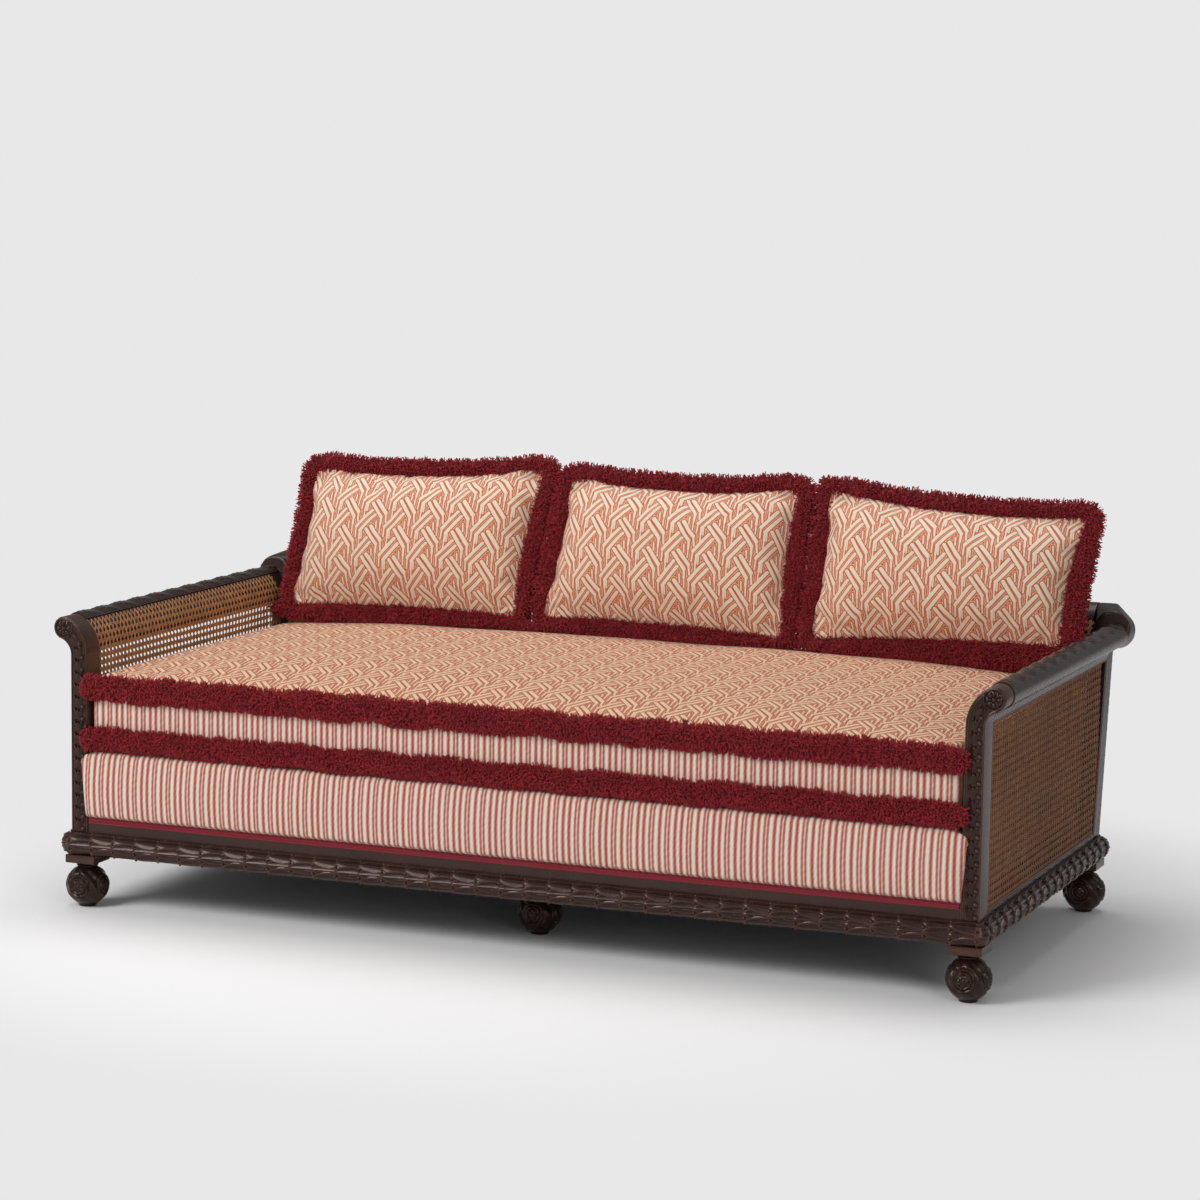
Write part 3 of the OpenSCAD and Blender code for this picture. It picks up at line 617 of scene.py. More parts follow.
def walked(line: np.ndarray) -> np.ndarray:
    """Length walked along a line of points up to each of them."""
    return np.concatenate([[0], np.cumsum(np.linalg.norm(np.diff(line, axis=0), axis=1))])


def directions(line: np.ndarray) -> np.ndarray:
    """Direction of length 1 in which a line of points runs at each of them."""
    run = np.gradient(line, axis=0)
    return run / np.linalg.norm(run, axis=1)[:, None]


def rim_numbers(number: np.ndarray) -> np.ndarray:
    """Numbers on the rim of a grid of point numbers, once round from its first corner."""
    return np.concatenate([number[0, :-1], number[:-1, -1], number[-1, :0:-1], number[:0:-1, 0]])


def swept(rings: np.ndarray, closed: bool = False) -> tuple[np.ndarray, list]:
    """Skin over rings of points, capped at both ends unless it is closed.

    Args:
        rings: Array of rings, points and three numbers.
        closed: Whether the last ring joins the first.

    Returns:
        Points and faces.
    """
    count, around = rings.shape[:2]
    faces = grid_faces(count, around, closed, True)[:, ::-1].tolist()
    if not closed:
        faces.append(list(range(around)))
        faces.append(list(range(around * count - 1, around * (count - 1) - 1, -1)))
    return rings.reshape(-1, 3), faces


def bead_rings(path: np.ndarray, normals: np.ndarray, radius: float, sides: int = 8,
               squash: float = 1.0) -> np.ndarray:
    """Rings round a path, for a bead or a cord.

    Args:
        path: Points that the bead follows.
        normals: Direction out of the surface at each point.
        radius: Radius of the bead.
        sides: Number of points in a ring.
        squash: Height of the bead over the surface, as a share of its radius.

    Returns:
        Array of rings, points and three numbers.
    """
    side = np.cross(directions(path), normals)
    angle = np.linspace(0, 2 * math.pi, sides, endpoint=False)
    return (path[:, None] + radius * np.cos(angle)[None, :, None] * side[:, None]
            + radius * squash * np.sin(angle)[None, :, None] * normals[:, None])


class Growth:
    """A Geometry Nodes tree made here, whose named inputs are set by identifier."""

    def __init__(self, name: str, inputs: dict[str, str]) -> None:
        """Starts a tree with a geometry socket at each end and these named inputs of these kinds."""
        self.tree = bpy.data.node_groups.new(name, "GeometryNodeTree")
        sockets = self.tree.interface
        sockets.new_socket("Geometry", in_out="OUTPUT", socket_type="NodeSocketGeometry")
        sockets.new_socket("Geometry", in_out="INPUT", socket_type="NodeSocketGeometry")
        for key, kind in inputs.items():
            sockets.new_socket(key, in_out="INPUT", socket_type="NodeSocket" + kind)
        self.start = self.tree.nodes.new("NodeGroupInput")
        self.end = self.tree.nodes.new("NodeGroupOutput")

    def given(self, name: str) -> bpy.types.NodeSocket:
        """The socket of a named input."""
        return self.start.outputs[name]

    def node(self, kind: str, settings: dict | None = None, inputs: dict | None = None,
             output: int | str = 0) -> bpy.types.NodeSocket:
        """Adds a node of that type with its settings and inputs, and gives back one output."""
        node = self.tree.nodes.new(kind)
        for key, value in (settings or {}).items():
            setattr(node, key, value)
        for key, value in (inputs or {}).items():
            if isinstance(value, bpy.types.NodeSocket):
                self.tree.links.new(value, node.inputs[key])
            else:
                node.inputs[key].default_value = value
        return node.outputs[output]

    def maths(self, operation: str, *values: "bpy.types.NodeSocket | float") -> bpy.types.NodeSocket:
        """Adds a Math node."""
        return self.node("ShaderNodeMath", {"operation": operation}, dict(enumerate(values)))

    def close(self, copies: bpy.types.NodeSocket) -> None:
        """Ends the tree: each copy takes a tone of its own, and all are made real and take the finish."""
        tone = self.node("FunctionNodeRandomValue", {"data_type": "FLOAT"}, {"Seed": self.given("Seed")}, 1)
        toned = self.node("GeometryNodeStoreNamedAttribute", {"data_type": "FLOAT", "domain": "INSTANCE"},
                          {"Geometry": copies, "Name": "tone", "Value": tone})
        real = self.node("GeometryNodeRealizeInstances", None, {"Geometry": toned})
        done = self.node("GeometryNodeSetMaterial", None, {"Geometry": real, "Material": self.given("Finish")})
        self.tree.links.new(done, self.end.inputs[0])

    def grow(self, name: str, mesh: bpy.types.Mesh, **values: object) -> bpy.types.Mesh:
        """Runs the tree on a mesh.

        Args:
            name: Name of the new mesh.
            mesh: What goes in at the geometry input.
            values: Named inputs, with _ for a space.

        Returns:
            The result as a plain mesh.
        """
        source = bpy.data.objects.new(name + "_source", mesh)
        bpy.context.scene.collection.objects.link(source)
        modifier = source.modifiers.new("growth", "NODES")
        modifier.node_group = self.tree
        names = {i.name: i.identifier for i in self.tree.interface.items_tree if i.in_out == "INPUT"}
        for key, value in values.items():
            modifier[names[key.replace("_", " ")]] = value
        bpy.context.view_layer.update()
        graph = bpy.context.evaluated_depsgraph_get()
        made = bpy.data.meshes.new_from_object(source.evaluated_get(graph), preserve_all_data_layers=True,
                                               depsgraph=graph)
        made.name = name
        bpy.data.objects.remove(source)
        return made


@lru_cache
def repeat_growth() -> Growth:
    """Tree that repeats a unit in columns and rows, one step apart, each with its own tone."""
    t = Growth("repeat", {"Columns": "Int", "Rows": "Int", "Start": "Vector", "Column Step": "Vector",
                          "Row Step": "Vector", "Seed": "Int", "Finish": "Material"})
    count = t.maths("MULTIPLY", t.given("Columns"), t.given("Rows"))
    line = t.node("GeometryNodeMeshLine", None, {"Count": count})
    index = t.node("GeometryNodeInputIndex")
    column = t.maths("MODULO", index, t.given("Columns"))
    row = t.maths("FLOOR", t.maths("DIVIDE", t.maths("ADD", index, 0.5), t.given("Columns")))
    place = t.given("Start")
    for amount, step in ((column, "Column Step"), (row, "Row Step")):
        move = t.node("ShaderNodeVectorMath", {"operation": "SCALE"}, {0: t.given(step), "Scale": amount})
        place = t.node("ShaderNodeVectorMath", {"operation": "ADD"}, {0: place, 1: move})
    points = t.node("GeometryNodeSetPosition", None, {"Geometry": line, "Position": place})
    copies = t.node("GeometryNodeInstanceOnPoints", None, {"Points": points, "Instance": t.given("Geometry")})
    t.close(copies)
    return t


def repeated(name: str, unit: bpy.types.Mesh, counts: tuple[int, int], steps: tuple[tuple, tuple], seed: int,
             finish: object, start: tuple = (0.0, 0.0, 0.0)) -> bpy.types.Mesh:
    """Repeats a unit.

    Args:
        name: Name of the mesh.
        unit: What is repeated.
        counts: Number of columns and of rows.
        steps: Move from a column to the next, and from a row to the next.
        seed: Seed of the units' tones.
        finish: Finish of them all.
        start: Place of the first unit.

    Returns:
        The repeated mesh.
    """
    return repeat_growth().grow(name, unit, Columns=counts[0], Rows=counts[1], Start=start, Column_Step=steps[0],
                                Row_Step=steps[1], Seed=seed, Finish=finish.material())


@lru_cache
def tuft_growth() -> Growth:
    """Tree that stands a tuft on each point, aimed and stretched as the point says."""
    t = Growth("tufts", {"Tuft": "Object", "Tilt": "Float", "Seed": "Int", "Finish": "Material"})
    tuft = t.node("GeometryNodeObjectInfo", None, {"Object": t.given("Tuft")}, "Geometry")
    aim = t.node("GeometryNodeInputNamedAttribute", {"data_type": "FLOAT_VECTOR"}, {"Name": "aim"})
    stretch = t.node("GeometryNodeInputNamedAttribute", {"data_type": "FLOAT"}, {"Name": "stretch"})
    turned = t.node("FunctionNodeAlignRotationToVector", {"axis": "Z"}, {"Vector": aim})
    least = t.node("ShaderNodeCombineXYZ", None, {0: t.maths("MULTIPLY", t.given("Tilt"), -1.0),
                                                   1: t.maths("MULTIPLY", t.given("Tilt"), -1.0), 2: -math.pi})
    most = t.node("ShaderNodeCombineXYZ", None, {0: t.given("Tilt"), 1: t.given("Tilt"), 2: math.pi})
    wobble = t.node("FunctionNodeRandomValue", {"data_type": "FLOAT_VECTOR"},
                    {0: least, 1: most, "Seed": t.given("Seed")}, 0)
    extra = t.node("FunctionNodeEulerToRotation", None, {0: wobble})
    rotation = t.node("FunctionNodeRotateRotation", {"rotation_space": "LOCAL"},
                      {"Rotation": turned, "Rotate By": extra})
    scale = t.node("ShaderNodeCombineXYZ", None, {0: 1.0, 1: 1.0, 2: stretch})
    copies = t.node("GeometryNodeInstanceOnPoints", None,
                    {"Points": t.given("Geometry"), "Instance": tuft, "Rotation": rotation, "Scale": scale})
    t.close(copies)
    return t


@lru_cache
def softened_edges() -> bpy.types.NodeTree:
    """Tree that joins a node's loose triangles and shades its round stretches smoothly."""
    t = Growth("softened_edges", {"Angle": "Float"})
    joined = t.node("GeometryNodeMergeByDistance", None, {"Geometry": t.given("Geometry"), "Distance": 1e-5})
    smooth = t.node("GeometryNodeSetShadeSmooth", {"domain": "FACE"}, {0: joined, "Shade Smooth": True})
    bend = t.node("GeometryNodeInputMeshEdgeAngle", output=0)
    sharp = t.node("FunctionNodeCompare", {"data_type": "FLOAT", "operation": "GREATER_THAN"},
                   {0: bend, 1: math.radians(CREASE)})
    edged = t.node("GeometryNodeSetShadeSmooth", {"domain": "EDGE"},
                   {0: smooth, "Selection": sharp, "Shade Smooth": False})
    t.tree.links.new(edged, t.end.inputs[0])
    return t.tree


def joined(name: str, meshes: list[bpy.types.Mesh]) -> bpy.types.Mesh:
    """Joins meshes into one."""
    whole = bmesh.new()
    for mesh in meshes:
        whole.from_mesh(mesh)
        bpy.data.meshes.remove(mesh)
    made = bpy.data.meshes.new(name)
    whole.to_mesh(made)
    whole.free()
    return made


def signed_volume(mesh: bpy.types.Mesh) -> float:
    """Volume inside a closed mesh, below nothing where its faces look inward."""
    mesh.calc_loop_triangles()
    corners = np.empty(len(mesh.loop_triangles) * 3, np.int32)
    mesh.loop_triangles.foreach_get("vertices", corners)
    a, b, c = mesh_points(mesh)[corners.reshape(-1, 3)].transpose(1, 0, 2)
    return float(np.einsum("ij,ij->i", a, np.cross(b, c)).sum() / 6)


def show(name: str, mesh: bpy.types.Mesh, finish: object, body: str,
         replaces: tuple[str, ...] = ()) -> bpy.types.Object:
    """Makes a finished piece of a mesh.

    Args:
        name: Name of the piece.
        mesh: Its mesh, in place in the frame.
        finish: A finish, which has a material method.
        body: Body that it rides on.
        replaces: CAD nodes that it stands for.

    Returns:
        The piece.
    """
    piece = bpy.data.objects.new(name, mesh)
    bpy.context.scene.collection.objects.link(piece)
    if signed_volume(mesh) < 0:
        mesh.flip_normals()
    mesh.materials.clear()
    mesh.materials.append(finish.material())
    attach(piece, body)
    if replaces:
        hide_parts(*replaces)
    LOG.info("%s: %d triangles", name, len(mesh.loop_triangles))
    return piece


def dress(frame: dict, node: str, finish: object, bevel: float = 0.0) -> None:
    """Gives a CAD node its finish, and softens its edges by that many metres."""
    piece = frame["nodes"][node]
    piece.data.materials.clear()
    piece.data.materials.append(finish.material())
    if bevel:
        soften = piece.modifiers.new("soften", "NODES")
        soften.node_group = softened_edges()
        edge = piece.modifiers.new("edge", "BEVEL")
        edge.width, edge.segments, edge.limit_method = bevel, 2, "ANGLE"
        edge.angle_limit = math.radians(EDGE_ANGLE)


def smooth_noise(points: np.ndarray, wave: float, seed: int) -> np.ndarray:
    """Gentle noise between about -1 and 1 at each point, from a few sine waves of that length."""
    chance = np.random.default_rng(seed)
    total = np.zeros(len(points))
    for _ in range(9):
        turn = chance.normal(size=points.shape[1])
        turn *= 2 * math.pi / (wave * chance.uniform(0.7, 1.6)) / np.linalg.norm(turn)
        total += np.sin(points @ turn + chance.uniform(0, 2 * math.pi))
    return total / 3.2


def lay_out(mesh: bpy.types.Mesh, places: np.ndarray) -> None:
    """Writes the cloth UV map from one place, in metres, for each point of the mesh."""
    loops = np.empty(len(mesh.loops), np.int32)
    mesh.loops.foreach_get("vertex_index", loops)
    layer = mesh.uv_layers.new(name="cloth")
    layer.data.foreach_set("uv", places[loops].astype(np.float32).ravel())


def arc_places(grid: np.ndarray) -> np.ndarray:
    """Place on the flat cloth of each point of a grid, measured along it from its middle row and column."""
    rows, columns = grid.shape[:2]
    across = np.linalg.norm(np.diff(grid, axis=1), axis=2)
    up = np.linalg.norm(np.diff(grid, axis=0), axis=2)
    u = np.concatenate([np.zeros((rows, 1)), np.cumsum(across, 1)], 1)
    v = np.concatenate([np.zeros((1, columns)), np.cumsum(up, 0)], 0)
    u -= u[:, columns // 2][:, None]
    v -= v[rows // 2][None, :]
    return np.stack([u, v], 2)


@dataclass(frozen=True)
class Filling:
    """What swells and wrinkles a closed cover, by Blender's cloth; the cap limits how far a point may move."""

    cap: float = 15 * MM
    pressure: float = 3.2
    spare: float = 0.035
    stretch: float = 22.0
    shear: float = 12.0
    bend: float = 0.35
    mass: float = 0.25
    quality: int = 6
    frames: int = 20

    def cloth(self, cover: bpy.types.Object, group: str) -> None:
        """Adds the cloth, held where the group of points says."""
        cloth = cover.modifiers.new("cloth", "CLOTH")
        for key, value in {
                "quality": self.quality, "mass": self.mass, "compression_stiffness": self.stretch,
                "tension_stiffness": self.stretch, "shear_stiffness": self.shear, "bending_stiffness": self.bend,
                "use_pressure": True, "uniform_pressure_force": self.pressure, "shrink_min": -self.spare,
                "shrink_max": -self.spare, "vertex_group_mass": group}.items():
            setattr(cloth.settings, key, value)
        cloth.settings.effector_weights.gravity = 0.0
        cloth.collision_settings.use_collision = False
        cloth.point_cache.frame_start, cloth.point_cache.frame_end = 1, self.frames

    def swell(self, mesh: bpy.types.Mesh, held: np.ndarray) -> None:
        """Swells a cover in place.

        Args:
            mesh: The cover.
            held: Share from 0 to 1 with which each point stays where it is.
        """
        before = mesh_points(mesh)
        cover = bpy.data.objects.new(mesh.name + "_sim", mesh.copy())
        bpy.context.scene.collection.objects.link(cover)
        group = cover.vertex_groups.new(name="held")
        for level in np.unique(np.round(held, 2)):
            if level > 0:
                group.add(np.flatnonzero(np.round(held, 2) == level).tolist(), float(level), "REPLACE")
        self.cloth(cover, group.name)
        for frame_number in range(1, self.frames + 1):
            bpy.context.scene.frame_set(frame_number)
        graph = bpy.context.evaluated_depsgraph_get()
        moved = mesh_points(bpy.data.meshes.new_from_object(cover.evaluated_get(graph))) - before
        bpy.data.objects.remove(cover)
        far = np.linalg.norm(moved, axis=1)
        moved *= (self.cap * np.tanh(far / self.cap) / np.maximum(far, 1e-9))[:, None]
        move_points(mesh, before + moved)
        LOG.info("%s: the cloth moved it by %.1f mm at most, before the cap", mesh.name, 1000 * far.max())


def zipped(ring: np.ndarray) -> list:
    """Faces that close a ring of point numbers in strips of four from its one end to its other."""
    ring, count, faces = ring.tolist(), len(ring), []
    for i in range((count - 1) // 2):
        a, b, c, d = ring[i], ring[i + 1], ring[count - 2 - i], ring[count - 1 - i]
        faces.append([a, b, d] if b == c else [a, b, c, d])
    return faces


def refined(piece: bpy.types.Object) -> None:
    """Smooths a finished soft piece with one level of subdivision."""
    finer = piece.modifiers.new("finer", "SUBSURF")
    finer.levels = finer.render_levels = 1
    finer.uv_smooth = "PRESERVE_BOUNDARIES"


@dataclass
class Lean:
    """The leaning plane of a back cushion: along the sofa, out to its back, and up."""

    y: float
    z: float
    angle: float = math.radians(21)

    def place(self, flat: np.ndarray) -> np.ndarray:
        """Turns rows of along, back and up, in metres, into places in the frame."""
        x, n, s = flat[..., 0], flat[..., 1], flat[..., 2]
        return np.stack([x, self.y + n * math.cos(self.angle) + s * math.sin(self.angle),
                         self.z - n * math.sin(self.angle) + s * math.cos(self.angle)], -1)

    def turn(self, flat: np.ndarray) -> np.ndarray:
        """Turns directions from the leaning plane into the frame."""
        return self.place(flat) - self.place(np.zeros(3))


def between(corners: np.ndarray, a: np.ndarray, b: np.ndarray) -> np.ndarray:
    """Place between four corners, counted against the clock, at share a across and share b up."""
    return (1 - a) * (1 - b) * corners[0] + a * (1 - b) * corners[1] + a * b * corners[2] + (1 - a) * b * corners[3]


@dataclass
class BackCushion:
    """One loose back cushion: a puffed, patterned cover with a deep brush fringe round its seam."""

    side: str
    index: int
    slump: tuple
    middle: float
    width: float = 575 * MM
    height: float = 350 * MM
    lift: float = 18 * MM
    swell_front: float = 70 * MM
    swell_back: float = 52 * MM
    draw_in: float = 12 * MM
    dip: float = 21 * MM
    fringe: float = 44 * MM
    fringe_between: float = 38.5 * MM
    fringe_half_t: float = 7 * MM
    yarn: float = 10.2 * MM
    foot_dip: float = 7 * MM
    corner_round: float = 5.0 * MM
    rim_round: float = 23 * MM
    rim_sag: float = 18 * MM
    columns: int = 60
    rows: int = 40
    yarns: int = 10500

    def lean(self) -> Lean:
        """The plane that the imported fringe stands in."""
        low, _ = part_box(f"{self.side}_cushion_fringe")
        plane = Lean(0.0, 0.0)
        return Lean(low.y + self.fringe_half_t * math.cos(plane.angle),
                    low.z + self.fringe_half_t * math.sin(plane.angle))

    def corners(self) -> np.ndarray:
        """Seam corners in the leaning plane: bottom left, bottom right, top right, top left."""
        w, h = self.width / 2, self.height
        square = np.array([[-w, 0], [w, 0], [w, h], [-w, h]]) + [self.middle, self.lift]
        return square + np.array(self.slump) * MM

    def edge(self, u: np.ndarray, v: np.ndarray) -> np.ndarray:
        """Place of the seam, for u across and v up of which one is -1 or 1.

        Args:
            u: Place across, from -1 to 1.
            v: Place up, from -1 to 1.

        Returns:
            Rows of along and up.
        """
        c = self.corners()
        a, b = ((u + 1) / 2)[..., None], ((v + 1) / 2)[..., None]
        flat = between(c, a, b)
        on_side = (np.abs(u) > 0.9999)
        pull_x = np.where(on_side, -np.sign(u) * (1 - v ** 2), 0.0) * self.draw_in
        pull_y = np.where(v > 0.9999, (u ** 2 - 1) * self.dip, np.where(v < -0.9999, 1 - u ** 2, 0.0) * self.foot_dip)
        round_off = self.corner_round * np.clip((np.abs(u) + np.abs(v) - 1.93) / 0.07, 0, 1) ** 2
        mid = c.mean(0)
        pointed = flat + np.stack([pull_x, pull_y], -1)
        away = pointed - mid
        return pointed - away / np.linalg.norm(away, axis=-1)[..., None] * round_off[..., None]

    def panel(self, sign: int) -> np.ndarray:
        """Grid of points of the front (-1) or back (1) panel, in the leaning plane."""
        tight = math.radians(77)
        u, v = np.meshgrid(*(np.sin(np.linspace(-tight, tight, count + 1)) / math.sin(tight)
                             for count in (self.columns, self.rows)))
        u = np.where(np.abs(u) < 1e-6, 1e-6, u)
        share = np.maximum(np.abs(u), np.abs(v))
        seam = self.edge(u / share, v / share)
        mid = self.corners().mean(0)
        a = (seam[..., 0] - mid[0]) / self.width
        b = (seam[..., 1] - mid[1]) / self.height
        oval = np.maximum(np.abs(a), np.abs(b)) / np.hypot(a, b)
        reach = share * (1 + (oval - 1) * (1 - share ** 2))
        flat = mid + (seam - mid) * reach[..., None]
        # A pillow's height falls off towards each side on its own, so that its corners stay lean
        form = ((1 - np.abs(u) ** 2.9) * (1 - np.abs(v) ** 2.9)) ** 0.52
        height = (self.swell_back if sign > 0 else self.swell_front) * form * sign
        return np.stack([flat[..., 0], height, flat[..., 1]], -1)

    def cover(self) -> None:
        """Builds the patterned cover, swells it over its filling and lays the weave on it."""
        front, back = self.panel(-1), self.panel(1)
        rows, columns = front.shape[:2]
        number = np.arange(rows * columns).reshape(rows, columns)
        inside = np.zeros((rows, columns), bool)
        inside[1:-1, 1:-1] = True
        behind = number.copy()
        behind[inside] = rows * columns + np.arange(inside.sum())
        quads = grid_faces(rows, columns)
        faces = np.concatenate([quads, behind.ravel()[quads][:, ::-1]])
        points = self.lean().place(np.concatenate([front.reshape(-1, 3), back[inside]]))
        mesh = shell(f"{self.side}_cushion_cover", points, faces, None)
        shade(mesh)
        held = np.zeros(len(points))
        held[number[~inside]] = 1.0
        Filling().swell(mesh, held)
        swollen = mesh_points(mesh)
        places = np.zeros((len(faces) * 4, 2))
        half = len(quads)
        for numbers, start, mirror in ((number, 0, 1.0), (behind, half, -1.0)):
            flat = arc_places(swollen[numbers]) * [mirror, 1.0]
            flat += [0.021 * (self.index + 1), 0.013 * self.index]
            corner = flat.reshape(-1, 2)[quads if start == 0 else quads[:, ::-1]]
            places[start * 4:(start + half) * 4] = corner.reshape(-1, 2)
        layer = mesh.uv_layers.new(name="cloth")
        layer.data.foreach_set("uv", places.astype(np.float32).ravel())
        piece = show(f"{self.side}_cushion_cover", mesh, InterlacedWeave(), f"{self.side}_back_cushion",
                     (f"{self.side}_cushion_case", f"{self.side}_cushion_pad"))
        refined(piece)

    def rim(self, count: int) -> tuple[np.ndarray, np.ndarray, np.ndarray, np.ndarray]:
        """Follows the seam against the clock.

        Args:
            count: Number of places round it.

        Returns:
            Places on the seam, directions out of it and lengths of the fringe there, in the leaning plane,
            and whether each place is on the side that stands on the seat.
        """
        long, short = self.width, self.height
        walk = np.linspace(0, 2 * (long + short), count, endpoint=False)
        u, v = np.empty(count), np.empty(count)
        sides = ((0, long), (long, short), (long + short, long), (2 * long + short, short))
        for k, (start, span) in enumerate(sides):
            here = (walk >= start) & (walk < start + span)
            t = (walk[here] - start) / span * 2 - 1
            u[here], v[here] = ((t, -1), (1, t), (-t, 1), (-1, -t))[k]
        seam = self.edge(u, v)
        c = self.corners()
        left = self.fringe - 8 * MM if self.index == 0 else self.fringe_between
        right = self.fringe if self.index == 2 else self.fringe_between
        outer = np.array([[c[0][0] - left, 0], [c[1][0] + right, 0], c[2] + [right, self.fringe],
                          c[3] + [-left, self.fringe]])
        a, b = ((u * 0.985 + 1) / 2)[:, None], ((v * 0.97 + 1) / 2)[:, None]
        rim = between(outer, a, b)
        middle = c.mean(0)
        corner = np.clip((np.abs(u) + np.abs(v) - 1.80) / 0.20, 0, 1) ** 1.5
        rim -= (rim - middle) / np.linalg.norm(rim - middle, axis=1)[:, None] * (corner * self.rim_round)[:, None]
        sag = np.where(v > 0.999, (1 - u ** 2) * self.rim_sag, 0)
        rim[:, 1] -= sag
        away = rim - seam
        length = np.linalg.norm(away, axis=1)
        return seam, away / length[:, None], length, v < -0.999

    def brush(self, seat: "Mattress") -> None:
        """Builds the cut fringe round the seam.

        Args:
            seat: The mattress that its lower side stands on.
        """
        plane = self.lean()
        seam, away, length, low = self.rim(300)
        under = plane.place(np.stack([seam[:, 0], np.zeros(len(seam)), seam[:, 1]], 1))
        room = under[:, 2] - seat.top(under[:, 0], under[:, 1])
        length = np.where(low, np.clip(room + 14 * MM, 20 * MM, 80 * MM), length - self.yarn + 1 * MM)
        loops = []
        for out, n in ((-0.14, -4.5), (0.06, -9), (0.34, -12.5), (0.66, -12.5), (0.90, -8), (1.0, 0), (0.90, 8),
                       (0.66, 12.5), (0.34, 12.5), (0.06, 9), (-0.14, 4.5)):
            flat = seam + away * (out * length)[:, None]
            n = np.where(low, 0.85 * n, n) * MM
            loops.append(plane.place(np.stack([flat[:, 0], n, flat[:, 1]], 1)))
        loops = np.array(loops).transpose(1, 0, 2)
        pile(f"{self.side}_cushion_brush", loops, True, self.yarns, self.yarn, SEED + self.index,
             f"{self.side}_back_cushion", (f"{self.side}_cushion_fringe",), seat.top)

    def build(self, seat: "Mattress") -> None:
        """Builds the cushion, which stands on the mattress."""
        self.cover()
        self.brush(seat)


# Radius of a yarn, how deep its root is sunk, how far its aim strays and droops, and how far it tilts at random
YARN_RADIUS = 1.35 * MM
YARN_SUNK = 2.0 * MM
YARN_STRAY = 0.34
YARN_DROOP = 0.18
YARN_TILT = 0.15


def yarn_unit(radius: float) -> bpy.types.Object:
    """One cut yarn, 1 m long until it is stretched, with its place along it marked."""
    made = Soft()
    rings = []
    for height, lean, girth in ((0.0, 0.0, 0.9), (1.0, 1.6, 0.95)):
        angle = np.arange(3) * 2 * math.pi / 3 + height
        rings.append(np.stack([lean * MM + radius * girth * np.cos(angle), radius * girth * np.sin(angle),
                               np.full(3, height)], 1))
    points, faces = swept(np.array(rings))
    made.add(points, faces, along=0.35 + 0.65 * points[:, 2])
    unit = bpy.data.objects.new("yarn_unit", made.mesh("yarn_unit", 80.0))
    bpy.context.scene.collection.objects.link(unit)
    return unit


def pile(name: str, loops: np.ndarray, closed: bool, count: int, length: float, seed: int, body: str,
         replaces: tuple[str, ...], rest: Callable | None = None) -> None:
    """Builds a dense row of cut yarn: a full core, and short yarns that stand all over it.

    Args:
        name: Name of the piece with the yarns.
        loops: Points of the core, as places along it, places round it and coordinates.
        closed: Whether the row runs into its own start.
        count: Number of yarns.
        length: Length of a yarn over the core.
        seed: Seed of all that is random.
        body: Body that the fringe rides on.
        replaces: CAD nodes that it stands for.
        rest: Height of what it stands on at x and y, if it stands on something.
    """
    chance = np.random.default_rng(seed)
    shape = loops.shape
    middle = loops.mean(1, keepdims=True)
    flat = loops.reshape(-1, 3)
    uneven = 1.03 + 0.07 * smooth_noise(flat, 10 * MM, seed) + 0.09 * smooth_noise(flat, 45 * MM, seed + 1)
    loops = middle + (loops - middle) * uneven.reshape(shape[:2])[..., None]
    if rest:
        loops[..., 2] = np.maximum(loops[..., 2], rest(loops[..., 0], loops[..., 1]) + 1.0 * MM)
    points, faces = swept(loops, closed=closed)
    core = Soft()
    core.add(points, faces, along=0.50, tone=0.45)
    show(name + "_core", core.mesh(name + "_core"), Yarn(), body, replaces)
    a, b = loops if closed else loops[:-1], np.roll(loops, -1, 0) if closed else loops[1:]
    corners = [c.reshape(-1, 3) for c in (a, b, np.roll(b, -1, 1), np.roll(a, -1, 1))]
    normal = np.cross(corners[1] - corners[0], corners[3] - corners[0])
    area = np.linalg.norm(normal, axis=1)
    normal /= np.maximum(area, 1e-12)[:, None]
    inside = np.repeat((middle if closed else middle[:-1])[:, 0], shape[1], axis=0)
    normal *= np.sign((normal * (sum(corners) / 4 - inside)).sum(1))[:, None]
    weight = area * np.interp(normal[:, 1], (-0.2, 0.5, 0.9), (1.0, 0.55, 0.12 if not closed else 0.4))
    cell = chance.choice(len(area), count, p=weight / weight.sum())
    s, t = chance.uniform(0, 1, (2, count, 1))
    c = [corner[cell] for corner in corners]
    roots = (c[0] * (1 - s) + c[1] * s) * (1 - t) + (c[3] * (1 - s) + c[2] * s) * t
    aims = normal[cell] + chance.normal(size=(count, 3)) * YARN_STRAY + [0.0, 0.0, -YARN_DROOP]
    aims /= np.linalg.norm(aims, axis=1)[:, None]
    stretch = length * (1 + 0.09 * chance.normal(size=count) + 0.10 * smooth_noise(roots, 14 * MM, seed + 2))
    roots = roots - normal[cell] * YARN_SUNK
    stretch = np.clip(stretch, 0.7 * length, 1.25 * length) + YARN_SUNK
    if rest:
        tips = roots + aims * stretch[:, None]
        room = roots[:, 2] - rest(tips[:, 0], tips[:, 1]) - 0.6 * MM
        fall = np.maximum(roots[:, 2] - tips[:, 2], 1e-6)
        stretch = np.where(tips[:, 2] < roots[:, 2] - room, stretch * np.clip(room / fall, 0.15, 1), stretch)
    carrier = bpy.data.meshes.new(name + "_roots")
    carrier.from_pydata(roots.tolist(), [], [])
    for key, kind, values in (("aim", "FLOAT_VECTOR", aims), ("stretch", "FLOAT", stretch)):
        layer = carrier.attributes.new(key, kind, "POINT")
        layer.data.foreach_set("vector" if kind == "FLOAT_VECTOR" else "value", values.astype(np.float32).ravel())
    unit = yarn_unit(YARN_RADIUS)
    mesh = tuft_growth().grow(name, carrier, Tuft=unit, Tilt=YARN_TILT, Seed=seed, Finish=Yarn().material())
    bpy.data.objects.remove(unit)
    show(name, mesh, Yarn(), body)


